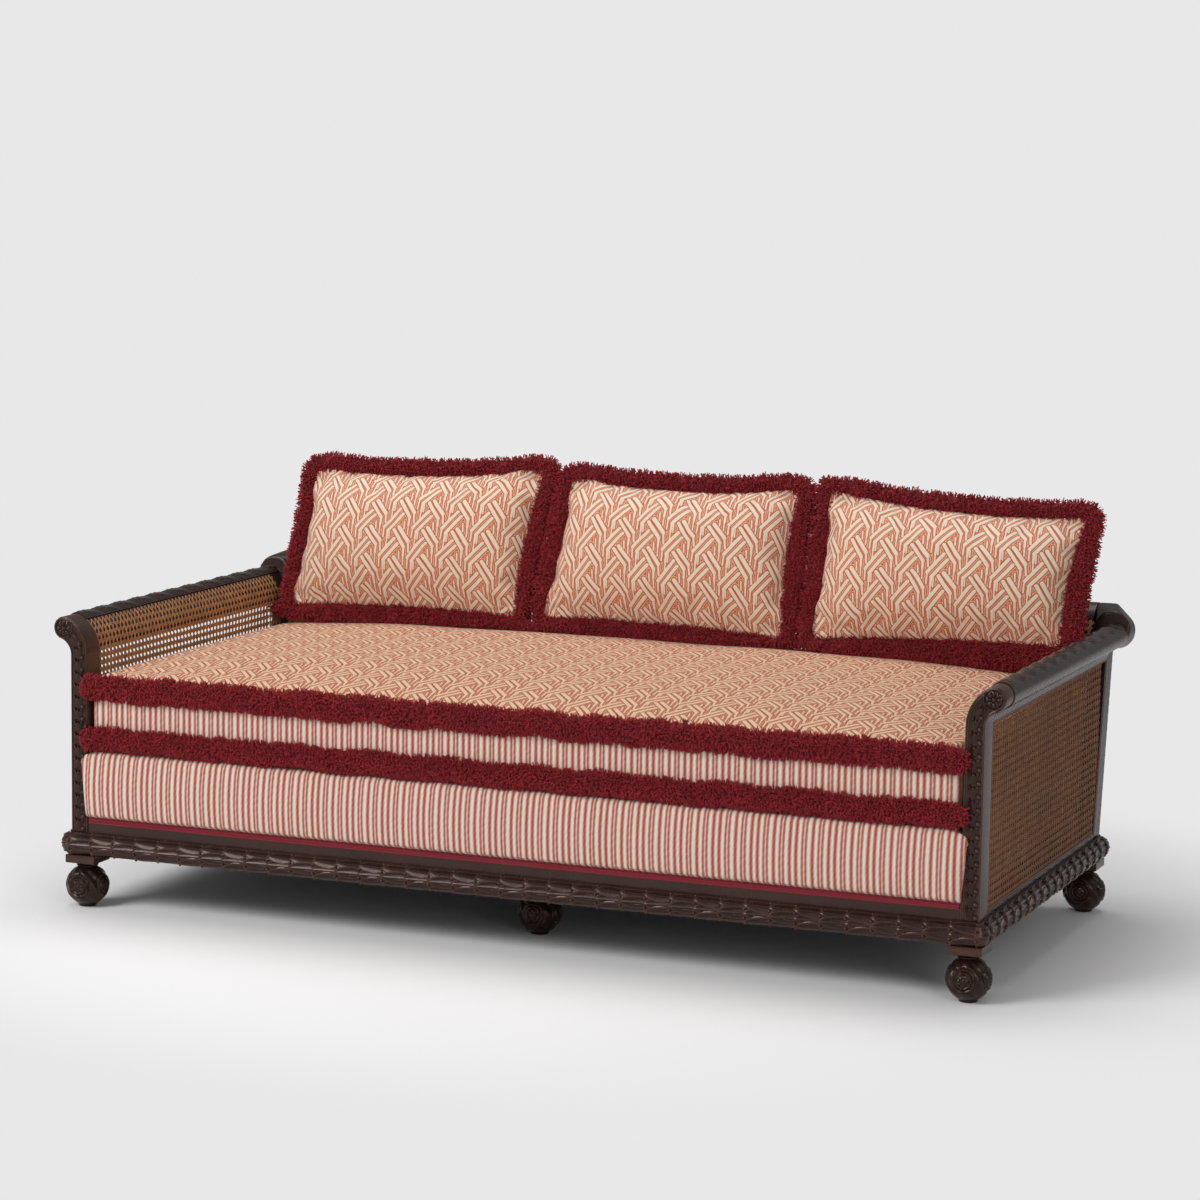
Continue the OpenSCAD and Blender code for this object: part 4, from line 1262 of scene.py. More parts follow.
# The seat shows the same cloth in darker, more orange colours than the cushions do: its darker tones are painted
# shade on its lit top, and why it is more orange is a guess
SHADED_SEAT_WEAVE = InterlacedWeave("seat_weave", cream=(0.720, 0.515, 0.325), ground=(0.560, 0.185, 0.080),
                             rust=(0.340, 0.046, 0.017))


@dataclass
class Mattress:
    """Loose mattress seat with a boxed border and two rows of brush fringe along its front."""

    half_x: float = 974 * MM
    front: float = -468 * MM - CENTRE_Y
    rear: float = 444.3 * MM - CENTRE_Y
    low: float = 349.4 * MM
    edge_z: float = 515.4 * MM
    crown: float = 33 * MM
    roll: float = 20 * MM
    seam_drop: float = 13 * MM
    fringe_half: float = 1001 * MM
    yarn: float = 9 * MM
    yarns: int = 16500
    # Rounding of the plan's corners, as the border's radius, and how far along and in the cover is pulled
    border_round: float = 60 * MM
    corner_reach: float = 60 * MM
    corner_pull: float = 9 * MM
    # Points nearer to an edge than this belong to its side
    side_band: float = 12 * MM
    grid_step: float = 21 * MM

    def top(self, x: np.ndarray, y: np.ndarray) -> np.ndarray:
        """Height of the mattress at a place."""
        t = np.clip((y - self.front) / (self.rear - self.front), 0, 1)
        swell = np.where(t < 0.5, 1 - (1 - 2 * t) ** 3, 1 - 0.35 * (2 * t - 1) ** 6)
        return self.edge_z + self.crown * (1 - np.abs(x / self.half_x) ** 4) * swell

    def lines(self, low: float, high: float, step: float) -> np.ndarray:
        """Places of a grid's lines, close together near both edges."""
        near = np.array([0.0, 1.4, 4.0, 8.0, 13.0, 20.0]) * MM
        count = int((high - low - 2 * near[-1]) / step)
        inner = np.linspace(low + near[-1], high - near[-1], count + 1)[1:-1]
        return np.concatenate([low + near, inner, high - near[::-1]])

    def cover(self) -> None:
        """Builds the cover: a crowned top, rolled edges, a boxed border and a flat underside."""
        xs = self.lines(-self.half_x, self.half_x, self.grid_step)
        ys = self.lines(self.front, self.rear, self.grid_step)
        x, y = np.meshgrid(xs, ys)
        near = np.minimum(self.half_x - np.abs(x), np.minimum(y - self.front, self.rear - y))
        near = np.clip(near, 0, self.roll)
        z = self.top(x, y) - (self.roll - np.sqrt(self.roll ** 2 - (self.roll - near) ** 2))
        dimple = smooth_noise(np.stack([x.ravel(), y.ravel()], 1), 0.26, 21).reshape(x.shape)
        z += 1.6 * MM * dimple * np.clip(near / self.roll, 0, 1)
        # Plan corners are pulled in a little, as a stuffed box does
        corner = np.clip(1 - (self.half_x - np.abs(x)) / self.corner_reach, 0, 1) * np.clip(
            1 - np.minimum(y - self.front, self.rear - y) / self.corner_reach, 0, 1)
        px = x - np.sign(x) * corner ** 2 * self.corner_pull
        py = y + np.where(y < 0, 1, -1) * corner ** 2 * self.corner_pull
        rows, columns = x.shape
        top = np.stack([px, py, z], -1)
        number = np.arange(rows * columns).reshape(rows, columns)
        ring = rim_numbers(number)
        rim = top.reshape(-1, 3)[ring]
        band = self.side_band
        out = np.stack([np.where(np.abs(np.abs(rim[:, 0]) - self.half_x) < band, np.sign(rim[:, 0]), 0),
                        np.where(np.abs(rim[:, 1] - self.front) < band, -1,
                                 np.where(np.abs(rim[:, 1] - self.rear) < band, 1, 0)), np.zeros(len(rim))], 1)
        seam = self.edge_z - self.seam_drop - self.roll + 6 * MM
        levels = [(seam + 3 * MM, 0.6), (seam, -1.6), (seam - 3 * MM, 0.5)]
        levels += [(seam - t * (seam - self.low), 0.8 - 2.4 * math.sin(math.pi * t))
                   for t in (0.12, 0.3, 0.5, 0.7, 0.88)]
        levels += [(self.low + 9 * MM, -0.5), (self.low + 3 * MM, -2.0), (self.low, -9.0)]
        points = [top.reshape(-1, 3)]
        faces = [grid_faces(rows, columns)]
        places = [arc_places(top).reshape(-1, 2) + [0.004, -0.010]]
        walk = walked(rim[:, :2])
        below = np.arange(len(ring) * len(levels)).reshape(len(levels), -1) + rows * columns
        border = np.concatenate([[ring], below])
        for level, swell in levels:
            lower = rim + out * (swell * MM)
            lower[:, 2] = level
            points.append(lower)
            places.append(np.stack([walk - self.half_x, np.full(len(ring), level)], 1))
        quads = grid_faces(len(border), len(ring), False, True)[:, ::-1]
        faces.append(border.ravel()[quads])
        # The underside is a grid again, whose outer points are the border's last ring
        under = np.full((rows, columns), -1)
        under.ravel()[ring] = border[-1]
        inner = under < 0
        under[inner] = sum(len(p) for p in points) + np.arange(inner.sum())
        points.append(np.stack([px[inner], py[inner], np.full(inner.sum(), self.low)], 1))
        places.append(np.stack([px[inner], py[inner]], 1))
        faces.append(under.ravel()[grid_faces(rows, columns)][:, ::-1])
        mesh = shell("mattress_cover", np.concatenate(points), np.concatenate(faces), None)
        shade(mesh)
        lay_out(mesh, np.concatenate(places))
        piece = show("mattress_cover", mesh, SHADED_SEAT_WEAVE, "seat_cushion",
                     ("mattress_case", "mattress_core"))
        refined(piece)

    def border(self) -> None:
        """Builds the striped border that is sewn between the two rows of fringe, all round the mattress."""
        inset = self.border_round
        xs = np.linspace(-self.half_x + inset, self.half_x - inset, 110)
        ys = np.linspace(self.front + inset, self.rear - inset, 48)
        bend = np.linspace(0, math.pi / 2, 9)[1:-1]

        def turn(cx: float, cy: float, start: float) -> list:
            """Points of one rounded corner."""
            return [(cx + inset * abs(math.cos(a + start)) ** 0.25 * math.copysign(1, math.cos(a + start)),
                     cy + inset * abs(math.sin(a + start)) ** 0.25 * math.copysign(1, math.sin(a + start)))
                    for a in bend]

        line = [(x, self.front) for x in xs] + turn(xs[-1], ys[0], -math.pi / 2)
        line += [(self.half_x, y) for y in ys] + turn(xs[-1], ys[-1], 0.0)
        line += [(x, self.rear) for x in xs[::-1]] + turn(xs[0], ys[-1], math.pi / 2)
        line += [(-self.half_x, y) for y in ys[::-1]] + turn(xs[0], ys[0], math.pi)
        line = np.roll(np.array(line), 227, 0)
        run = np.roll(line, -1, 0) - np.roll(line, 1, 0)
        out = np.stack([run[:, 1], -run[:, 0]], 1) / np.linalg.norm(run, axis=1)[:, None]
        high, low = self.edge_z - self.seam_drop - 1 * MM, self.low + 6 * MM
        levels = [(high, -2.0), (high - 2 * MM, 1.6)]
        levels += [(high + (low - high) * t, 2.2 + 2.2 * math.sin(math.pi * t)) for t in np.linspace(0.04, 0.96, 9)]
        levels += [(low + 2 * MM, 1.6), (low, -2.0)]
        rings = [np.column_stack([line + out * proud * MM, np.full(len(line), z)]) for z, proud in levels]
        walk = walked(line)
        flat = [np.column_stack([walk, np.full(len(line), z)]) for z, _ in levels]
        rings.append(np.column_stack([line - out * 3.5 * MM, np.full(len(line), (high + low) / 2)]))
        flat.append(flat[0])
        mesh = shell("mattress_border", *swept(np.array(rings), closed=True), 60.0)
        lay_out(mesh, np.concatenate(flat))
        show("mattress_border", mesh, TickingStripe(), "seat_cushion")

    def brush(self, name: str, low: float, high: float, node: str) -> None:
        """Builds one row of fringe as a half-round brush along the front.

        Args:
            name: Name of the piece.
            low: Lowest point of the row.
            high: Highest point.
            node: CAD node that it stands for.
        """
        half = self.fringe_half - 6 * MM
        bend = 20 * MM
        ends = half - bend + bend * np.sin(np.linspace(0, math.pi / 2, 8))
        xs = np.concatenate([-ends[::-1], np.linspace(-half + bend, half - bend, 360)[1:-1], ends])
        full = np.sqrt(np.clip(1 - (np.clip(np.abs(xs) - half + bend, 0, None) / bend) ** 2, 0.02, 1))
        wave = 2.4 * MM * smooth_noise(xs[:, None], 0.16, len(node)) + 1.2 * MM * smooth_noise(xs[:, None], 0.05, 3)
        middle, tall = (low + high) / 2 + wave, ((high - low) / 2 - 6 * MM) * full
        back = self.front - 0.4 * MM - np.where(np.abs(xs) > self.half_x - 6 * MM, 9 * MM, 0)
        deep = 20 * MM * full - np.where(np.abs(xs) > self.half_x - 6 * MM, 8 * MM, 0) * full
        loops = [np.stack([xs, back, middle + tall * side], 1) for side in (0.92, 0.0, -0.92)]
        for a in np.linspace(-80, 80, 11) * math.pi / 180:
            loops.append(np.stack([xs, back - 0.2 * MM - deep * math.cos(a), middle + tall * math.sin(a)], 1))
        pile(name, np.array(loops).transpose(1, 0, 2), False, self.yarns, self.yarn, SEED + len(node),
             "seat_cushion", (node,))

    def build(self) -> None:
        """Builds the mattress."""
        self.cover()
        self.border()
        self.brush("upper_mattress_brush", 460 * MM, 518 * MM, "upper_mattress_fringe")
        self.brush("lower_mattress_brush", 351 * MM, 403 * MM, "lower_mattress_fringe")


@dataclass
class SprungBase:
    """Sprung base in striped cloth, whose front swells over the post fronts, with a braid along its foot."""

    half: float = 983.5 * MM
    front: float = -487 * MM - CENTRE_Y
    fascia_y: float = -472 * MM - CENTRE_Y
    low: float = 196 * MM
    knee: float = 204 * MM
    top: float = 348.9 * MM
    roll: float = 22 * MM
    rear: float = 417 * MM - CENTRE_Y
    spread_top: float = 1001 * MM
    spread_low: float = 988 * MM
    braid_h: float = 14.5 * MM
    braid_pitch: float = 4.2 * MM
    cord: float = 3.1 * MM
    end: float = 22 * MM
    proud: float = 6.5 * MM
    corner_drop: float = 17 * MM

    def section(self) -> np.ndarray:
        """Front-to-back section as rows of y and z, from under the front to the back."""
        t = np.linspace(0, 1, 15)
        border = np.stack([self.front - self.proud * np.sin(math.pi * t) ** 0.8,
                           self.knee + 4 * MM + (self.top - self.roll - self.knee - 4 * MM) * t], 1)
        bend = np.linspace(math.pi, math.pi / 2, 9)[1:]
        rolled = np.stack([self.front + self.roll + self.roll * np.cos(bend),
                           self.top - self.roll + self.roll * np.sin(bend)], 1)
        top = np.stack([np.linspace(self.front + self.roll, self.rear, 12)[1:], np.full(11, self.top)], 1)
        foot = np.array([[self.fascia_y, self.low], [self.fascia_y, self.knee - 2 * MM],
                         [self.fascia_y - 6 * MM, self.knee]])
        under = np.array([[self.rear, self.low + 20 * MM], [self.fascia_y + 45 * MM, self.low]])
        return np.concatenate([foot, border, rolled, top, under])

    def cover(self) -> None:
        """Builds the striped cover with its rounded ends."""
        section = self.section()
        reach = np.interp(section[:, 1], [self.knee, self.top], [self.spread_low, self.spread_top])
        spread = np.where(section[:, 0] < FRONT_Y + 1 * MM, reach, self.half)
        ease = np.linspace(0, 1, 7)[1:]
        straight = self.half - self.end
        steps = [(x, 0.0) for x in np.linspace(-straight, straight, 150)]
        ends = [(straight, e) for e in np.sin(ease * math.pi / 2)]
        steps = [(-x, e) for x, e in ends[::-1]] + steps + ends
        rings, flat = [], []
        run = walked(section)
        for x, e in steps:
            sign = math.copysign(1.0, x)
            place = x + sign * (spread - straight) * e
            round_off = 1 - math.sqrt(max(0.0, 1 - e ** 2)) if e else 0.0
            limit = FRONT_Y - 0.6 * MM
            y = np.where(section[:, 0] < limit, section[:, 0] + (limit - section[:, 0]) * round_off * 0.94,
                         section[:, 0])
            z = section[:, 1] - np.where(section[:, 1] > self.top - self.roll, self.corner_drop * round_off, 0)
            quilt = 0.9 * MM * math.sin(x * 21.0) * math.sin(x * 7.3 + 1.0)
            bulge = np.clip((section[:, 1] - self.knee) / (self.top - self.knee), 0, 1)
            y = y + np.where(section[:, 0] < FRONT_Y, quilt * np.sin(math.pi * bulge), 0)
            rings.append(np.stack([place, y, z], 1))
            flat.append(np.stack([place, run], 1))
        points, faces = swept(np.array(rings))
        around = len(section)
        first = np.arange(around)
        faces = faces[:-2] + zipped(first) + zipped((first + around * (len(rings) - 1))[::-1])
        mesh = shell("striped_base_cover", points, faces, 50.0)
        lay_out(mesh, np.concatenate(flat))
        piece = show("striped_base_cover", mesh, TickingStripe(), "frame",
                     ("sprung_base_cover", "sprung_base_pad"))
        refined(piece)

    def braid(self) -> None:
        """Builds the flat plaited braid: a grid of slanted cord ends between two cords."""
        pitch, y = self.braid_pitch, self.fascia_y - 1.9 * MM
        rings = []
        for t, fat in ((-1, 0.35), (-0.55, 1.0), (0.0, 1.1), (0.55, 1.0), (1, 0.35)):
            angle = np.arange(6) * math.pi / 3
            rings.append(np.stack([t * 2.6 * MM + 1.5 * MM * fat * np.cos(angle),
                                   1.3 * MM * fat * np.sin(angle), np.full(6, t * self.cord)], 1))
        points, faces = swept(np.array(rings))
        unit = Soft()
        unit.add(points, faces)
        mirrored = points * [1, 1, -1] + [0, 0, 6.3 * MM]
        unit.add(mirrored, [f[::-1] for f in faces])
        columns = int(2 * self.half / pitch)
        z = self.low - self.cord
        mesh = repeated("front_braid", unit.mesh("braid_unit", 60.0), (columns, 1), ((pitch, 0, 0), (0, 0, 0)), 3,
                        Braid(), (-pitch * (columns - 1) / 2, y, z))
        show("front_braid", mesh, Braid(), "frame", ("fascia_braid",))
        cords = Soft()
        for height, fat in ((-self.braid_h / 2 + 0.7 * MM, 0.9), (self.braid_h / 2 - 0.7 * MM, 0.9), (0, 0.8)):
            xs = np.linspace(-self.half, self.half, 90)
            path = np.stack([xs, np.full(90, y + 0.5 * MM), np.full(90, self.low + height)], 1)
            normals = np.tile([0.0, -1.0, 0.0], (90, 1))
            cords.add(*swept(bead_rings(path, normals, fat * MM * 1.25)))
        show("braid_edges", cords.mesh("braid_edges"), Braid(), "frame")

    def build(self) -> None:
        """Builds the sprung base."""
        self.cover()
        self.braid()


@dataclass
class CaneSheet:
    """A sheet of six-way woven cane, made flat and then laid on its surface.

    The flat sheet lies in X and Y with its skin side up the Z axis, from 0 to width and 0 to height.
    """

    name: str
    width: float
    height: float
    finish: Cane
    pitch: float = 15.9 * MM
    bends: int = 1
    wide: float = 2.5 * MM
    thick: float = 0.7 * MM

    def strand(self, path: np.ndarray, ridged: bool = False) -> tuple[np.ndarray, list]:
        """One flat strand along a path of x, y and z; a ridged one has three sides."""
        run = directions(path[:, :2])
        side = np.stack([-run[:, 1], run[:, 0], np.zeros(len(run))], 1)
        up = np.array([0.0, 0.0, 1.0])
        corners = ((-0.5, -0.3), (0.0, 0.6), (0.5, -0.3)) if ridged else (
            (-0.5, -0.3), (-0.3, 0.5), (0.3, 0.5), (0.5, -0.3))
        return swept(np.stack([path + side * (a * self.wide) + up * (b * self.thick) for a, b in corners], 1))

    def mesh(self) -> bpy.types.Mesh:
        """Weaves the flat sheet: pairs of upright and level strands, and slanted ones through every cell."""
        p = self.pitch
        columns, rows = round(self.width / p), round(self.height / p)
        upright, level, slanted = Soft(), Soft(), Soft()
        for gap in (-1.55 * MM, 1.55 * MM):
            ys = np.linspace(0, rows * p, self.bends + 1)
            upright.add(*self.strand(np.stack([np.full(len(ys), p / 2 + gap), ys, np.full(len(ys), 0.4 * MM)], 1)))
            xs = np.array([0.0, columns * p])
            level.add(*self.strand(np.stack([xs, np.full(2, p / 2 + gap), np.full(2, -0.4 * MM)], 1)))
        # The slanted strands cut the corners of every open square, which leaves eight-sided holes
        for start, end, lift in (((0, 1), (1, 2), 0.9), ((1, 0), (2, 1), 0.9), ((0, 1), (1, 0), -0.9),
                                 ((1, 2), (2, 1), -0.9)):
            line = np.array([[*start, 0], [*end, 0]]) * p / 2 + [0, 0, lift * MM]
            slanted.add(*self.strand(line, True))
        steps = ((p, 0.0, 0.0), (0.0, p, 0.0))
        mesh = joined(self.name, [repeated(self.name, unit.mesh("cane_unit", 60.0), counts, steps, 11, self.finish)
                                  for unit, counts in ((upright, (columns, 1)), (level, (1, rows)),
                                                       (slanted, (columns, rows)))])
        points = mesh_points(mesh)
        points[:, 0] *= self.width / (columns * p)
        points[:, 1] *= self.height / (rows * p)
        move_points(mesh, points)
        return mesh


@dataclass(frozen=True)
class RolledLine:
    """Section of an arm or of the back: an upright panel whose top rolls outward.

    Places in it are outward from the panel's inner face and up from the base's top, in metres.
    """

    straight: float
    centre: tuple
    roll: float
    panel: float = 40 * MM

    def arcs(self) -> tuple[float, float, float, float]:
        """Radii of the outer and inner curves, and the angles at which they meet the roll."""
        ds, dz = self.centre[0] - self.panel, self.centre[1] - self.straight
        out_r = (ds ** 2 + dz ** 2 - self.roll ** 2) / (2 * (self.roll + ds))
        in_r = (self.centre[0] ** 2 + dz ** 2 - self.roll ** 2) / (2 * (self.centre[0] - self.roll))
        out_a = math.atan2(dz, ds - out_r)
        in_a = math.atan2(dz, self.centre[0] - in_r)
        return out_r, in_r, out_a, in_a

    def inner(self, count: int = 24) -> np.ndarray:
        """Inner face's curve from the straight part's end up to the roll."""
        _, in_r, _, in_a = self.arcs()
        a = np.linspace(math.pi, in_a, count)
        return np.stack([in_r + in_r * np.cos(a), self.straight + in_r * np.sin(a)], 1)

    def outer(self, count: int) -> np.ndarray:
        """Outer face's curve from the straight part's end up to the roll."""
        out_r, _, out_a, _ = self.arcs()
        a = np.linspace(math.pi, out_a, count)
        return np.stack([self.panel + out_r + out_r * np.cos(a), self.straight + out_r * np.sin(a)], 1)

    def scroll(self, count: int) -> np.ndarray:
        """The roll's circle, from the outer curve's end round to the inner curve's."""
        _, _, out_a, in_a = self.arcs()
        b = np.linspace(out_a - math.pi, in_a, count)
        return np.stack([self.centre[0] + self.roll * np.cos(b), self.centre[1] + self.roll * np.sin(b)], 1)

    def outline(self, fine: int) -> np.ndarray:
        """The whole outline, counted against the clock from the inner foot."""
        return np.concatenate([[[0, 0], [self.panel, 0]], self.outer(fine), self.scroll(2 * fine)[1:-1],
                               self.inner(fine)[::-1]])

    def follow(self, length: np.ndarray, out: np.ndarray, start: float, foot: float) -> tuple[np.ndarray, np.ndarray]:
        """Places on the inner face.

        Args:
            length: Length up the face from its foot.
            out: Height over the face, towards the seat.
            start: Distance of the face from the inner face of the panel.
            foot: Height of the foot.

        Returns:
            Outward and up.
        """
        line = np.concatenate([[[0.0, foot]], self.inner()])
        run, tangent = walked(line), directions(line)
        tangent[0] = (0, 1)
        u, v = (np.interp(length, run, line[:, k]) for k in (0, 1))
        tu, tv = (np.interp(length, run, tangent[:, k]) for k in (0, 1))
        rise = start - out
        return u + tv * rise, v - tu * rise

    def run_to(self, height: float, foot: float) -> float:
        """Length up the inner face from its foot to a height."""
        line = np.concatenate([[[0.0, foot]], self.inner()])
        return float(np.interp(height, line[:, 1], walked(line)))


ARM = RolledLine(389 * MM, (57 * MM, 446 * MM), 27 * MM)
POST = RolledLine(389 * MM, (57 * MM, 446 * MM), 25 * MM)
BACK = RolledLine(434 * MM, (62 * MM, 495 * MM), 30 * MM)


@dataclass(frozen=True)
class Rake:
    """The leaning frame of the back: along the sofa, outward from its inner face, and up the slope."""

    angle: float = math.radians(9.8)
    face: float = 417 * MM - CENTRE_Y

    def place(self, x: np.ndarray, n: np.ndarray, s: np.ndarray) -> np.ndarray:
        """Place in the frame of along, outward and up."""
        return np.stack([x, self.face + n * math.cos(self.angle) + s * math.sin(self.angle),
                         BASE_TOP - n * math.sin(self.angle) + s * math.cos(self.angle)], -1)


RAKE = Rake()


@dataclass
class CaneWork:
    """All cane of the arms and the back, and the reeds that hold it."""

    proud: float = 3.0 * MM
    outer_face: float = 37.0 * MM
    arm_deep: float = 872 * MM
    arm_foot: float = 12 * MM
    arm_end: float = 460 * MM
    arm_outer_tall: float = 382 * MM
    back_wide: float = 1976 * MM
    back_foot: float = 60 * MM
    back_end: float = 485 * MM
    back_outer_tall: float = 377 * MM
    cut_room: float = 14 * MM

    def lay(self, name: str, size: tuple[float, float], finish: Cane, place: Callable, bends: int = 1,
            meets_post: bool = False) -> None:
        """Weaves one sheet and lays it in the frame.

        Args:
            name: Start of the names of the sheet and of the CAD node that it stands for.
            size: Width and height of the flat sheet.
            finish: Its finish.
            place: What turns places on the flat sheet into places in the frame.
            bends: Number of stretches of an upright strand.
            meets_post: Whether it is drawn in behind the inner face of the raked back post.
        """
        mesh = CaneSheet(f"{name}_weave", *size, finish, bends=bends).mesh()
        move_points(mesh, place(mesh_points(mesh)))
        if meets_post:
            points = mesh_points(mesh)
            limit = RAKE.face + (points[:, 2] - BASE_TOP) * math.tan(RAKE.angle) + self.cut_room
            points[:, 1] = np.minimum(points[:, 1], limit)
            move_points(mesh, points)
        show(mesh.name, mesh, finish, "frame", (f"{name}_cane",))

    def arm(self, sign: int, name: str) -> None:
        """Weaves an arm's inner sheet, which follows the face up into the roll, and its flat outer sheet."""
        start = POST_BACK_Y - 6 * MM

        def inner(flat: np.ndarray) -> np.ndarray:
            """Places on the inner face."""
            u, v = ARM.follow(flat[:, 1], flat[:, 2], self.proud, self.arm_foot)
            return np.stack([sign * (INNER_X + u), start + flat[:, 0], BASE_TOP + v], 1)

        def outer(flat: np.ndarray) -> np.ndarray:
            """Places on the outer face."""
            return np.stack([sign * (INNER_X + self.outer_face + flat[:, 2]), start + flat[:, 0],
                             BASE_TOP + self.arm_foot + flat[:, 1]], 1)

        tall = ARM.run_to(self.arm_end, self.arm_foot)
        self.lay(f"{name}_inner", (self.arm_deep, tall), Cane(), inner, 30, True)
        # The outer sheets are darker than the inner ones: painted shade on the arms' outer sides
        self.lay(f"{name}_outer", (self.arm_deep, self.arm_outer_tall),
                 Cane("cane_outer", (0.095, 0.032, 0.009), (0.285, 0.112, 0.036)), outer, 1, True)

    def back(self) -> None:
        """Weaves the back's inner sheet, which rolls out at its top, and its flat outer sheet."""
        half = self.back_wide / 2

        def inner(flat: np.ndarray) -> np.ndarray:
            """Places on the inner face."""
            n, up = BACK.follow(flat[:, 1], flat[:, 2], self.proud, self.back_foot)
            return RAKE.place(flat[:, 0] - half, n, up)

        def outer(flat: np.ndarray) -> np.ndarray:
            """Places on the outer face."""
            return RAKE.place(half - flat[:, 0], self.outer_face + flat[:, 2], self.back_foot + flat[:, 1])

        tall = BACK.run_to(self.back_end, self.back_foot)
        self.lay("back_inner", (self.back_wide, tall), Cane(), inner, 28)
        # Painted shade: the back's outer sheet is darker, as the arms' outer sheets are
        self.lay("back_outer", (self.back_wide, self.back_outer_tall),
                 Cane("cane_outer_back", (0.110, 0.040, 0.013), (0.330, 0.140, 0.050)), outer)

    def build(self) -> None:
        """Builds all sheets, and finishes the reeds."""
        for sign, name in ((-1, "left"), (1, "right")):
            self.arm(sign, name)
        self.back()
        for node in ("arm_cane_splines", "back_cane_splines"):
            dress(frame, node, Cane("stained_reed", (0.075, 0.027, 0.011), (0.180, 0.072, 0.028)), 0.6 * MM)


CARVED = Mahogany(Grain.ALONG_X, carved=True)
CARVED_UPRIGHT = Mahogany(Grain.ALONG_Z, carved=True)


def carve(name: str, skin: tuple[np.ndarray, list], crease: float, wood: Mahogany,
          replaces: tuple[str, ...] = ()) -> None:
    """Shows a wooden piece of the frame made of one skin.

    Args:
        name: Name of the piece.
        skin: Its points and faces.
        crease: Angle in degrees past which an edge is sharp.
        wood: Its finish.
        replaces: CAD nodes that it stands for.
    """
    show(name, shell(name, *skin, crease), wood, "frame", replaces)


def relief_grid(places: np.ndarray, under: float) -> tuple[np.ndarray, list]:
    """A closed shell of a grid of points over a flat underside, which lies that far below zero."""
    rows, columns = places.shape[:2]
    number = np.arange(rows * columns).reshape(rows, columns)
    rim = rim_numbers(number)
    top = places.reshape(-1, 3)
    low = top[rim].copy()
    low[:, 2] = -under
    count = len(rim)
    faces = grid_faces(rows, columns).tolist()
    below = np.arange(count) + len(top)
    for i in range(count):
        j = (i + 1) % count
        faces.append([int(rim[j]), int(rim[i]), int(below[i]), int(below[j])])
    faces.append(below[::-1].tolist())
    return np.concatenate([top, low]), faces


def pearl(centre: tuple, radius: float) -> tuple[np.ndarray, list]:
    """A small round berry that stands on its surface."""
    rings = []
    for lift, size in ((-0.75, 0.66), (0.0, 1.0), (0.62, 0.78), (0.95, 0.30)):
        angle = np.arange(8) * math.pi / 4
        rings.append(np.stack([centre[0] + radius * size * np.cos(angle), centre[1] + radius * size * np.sin(angle),
                               np.full(8, centre[2] + radius * lift)], 1))
    return swept(np.array(rings))


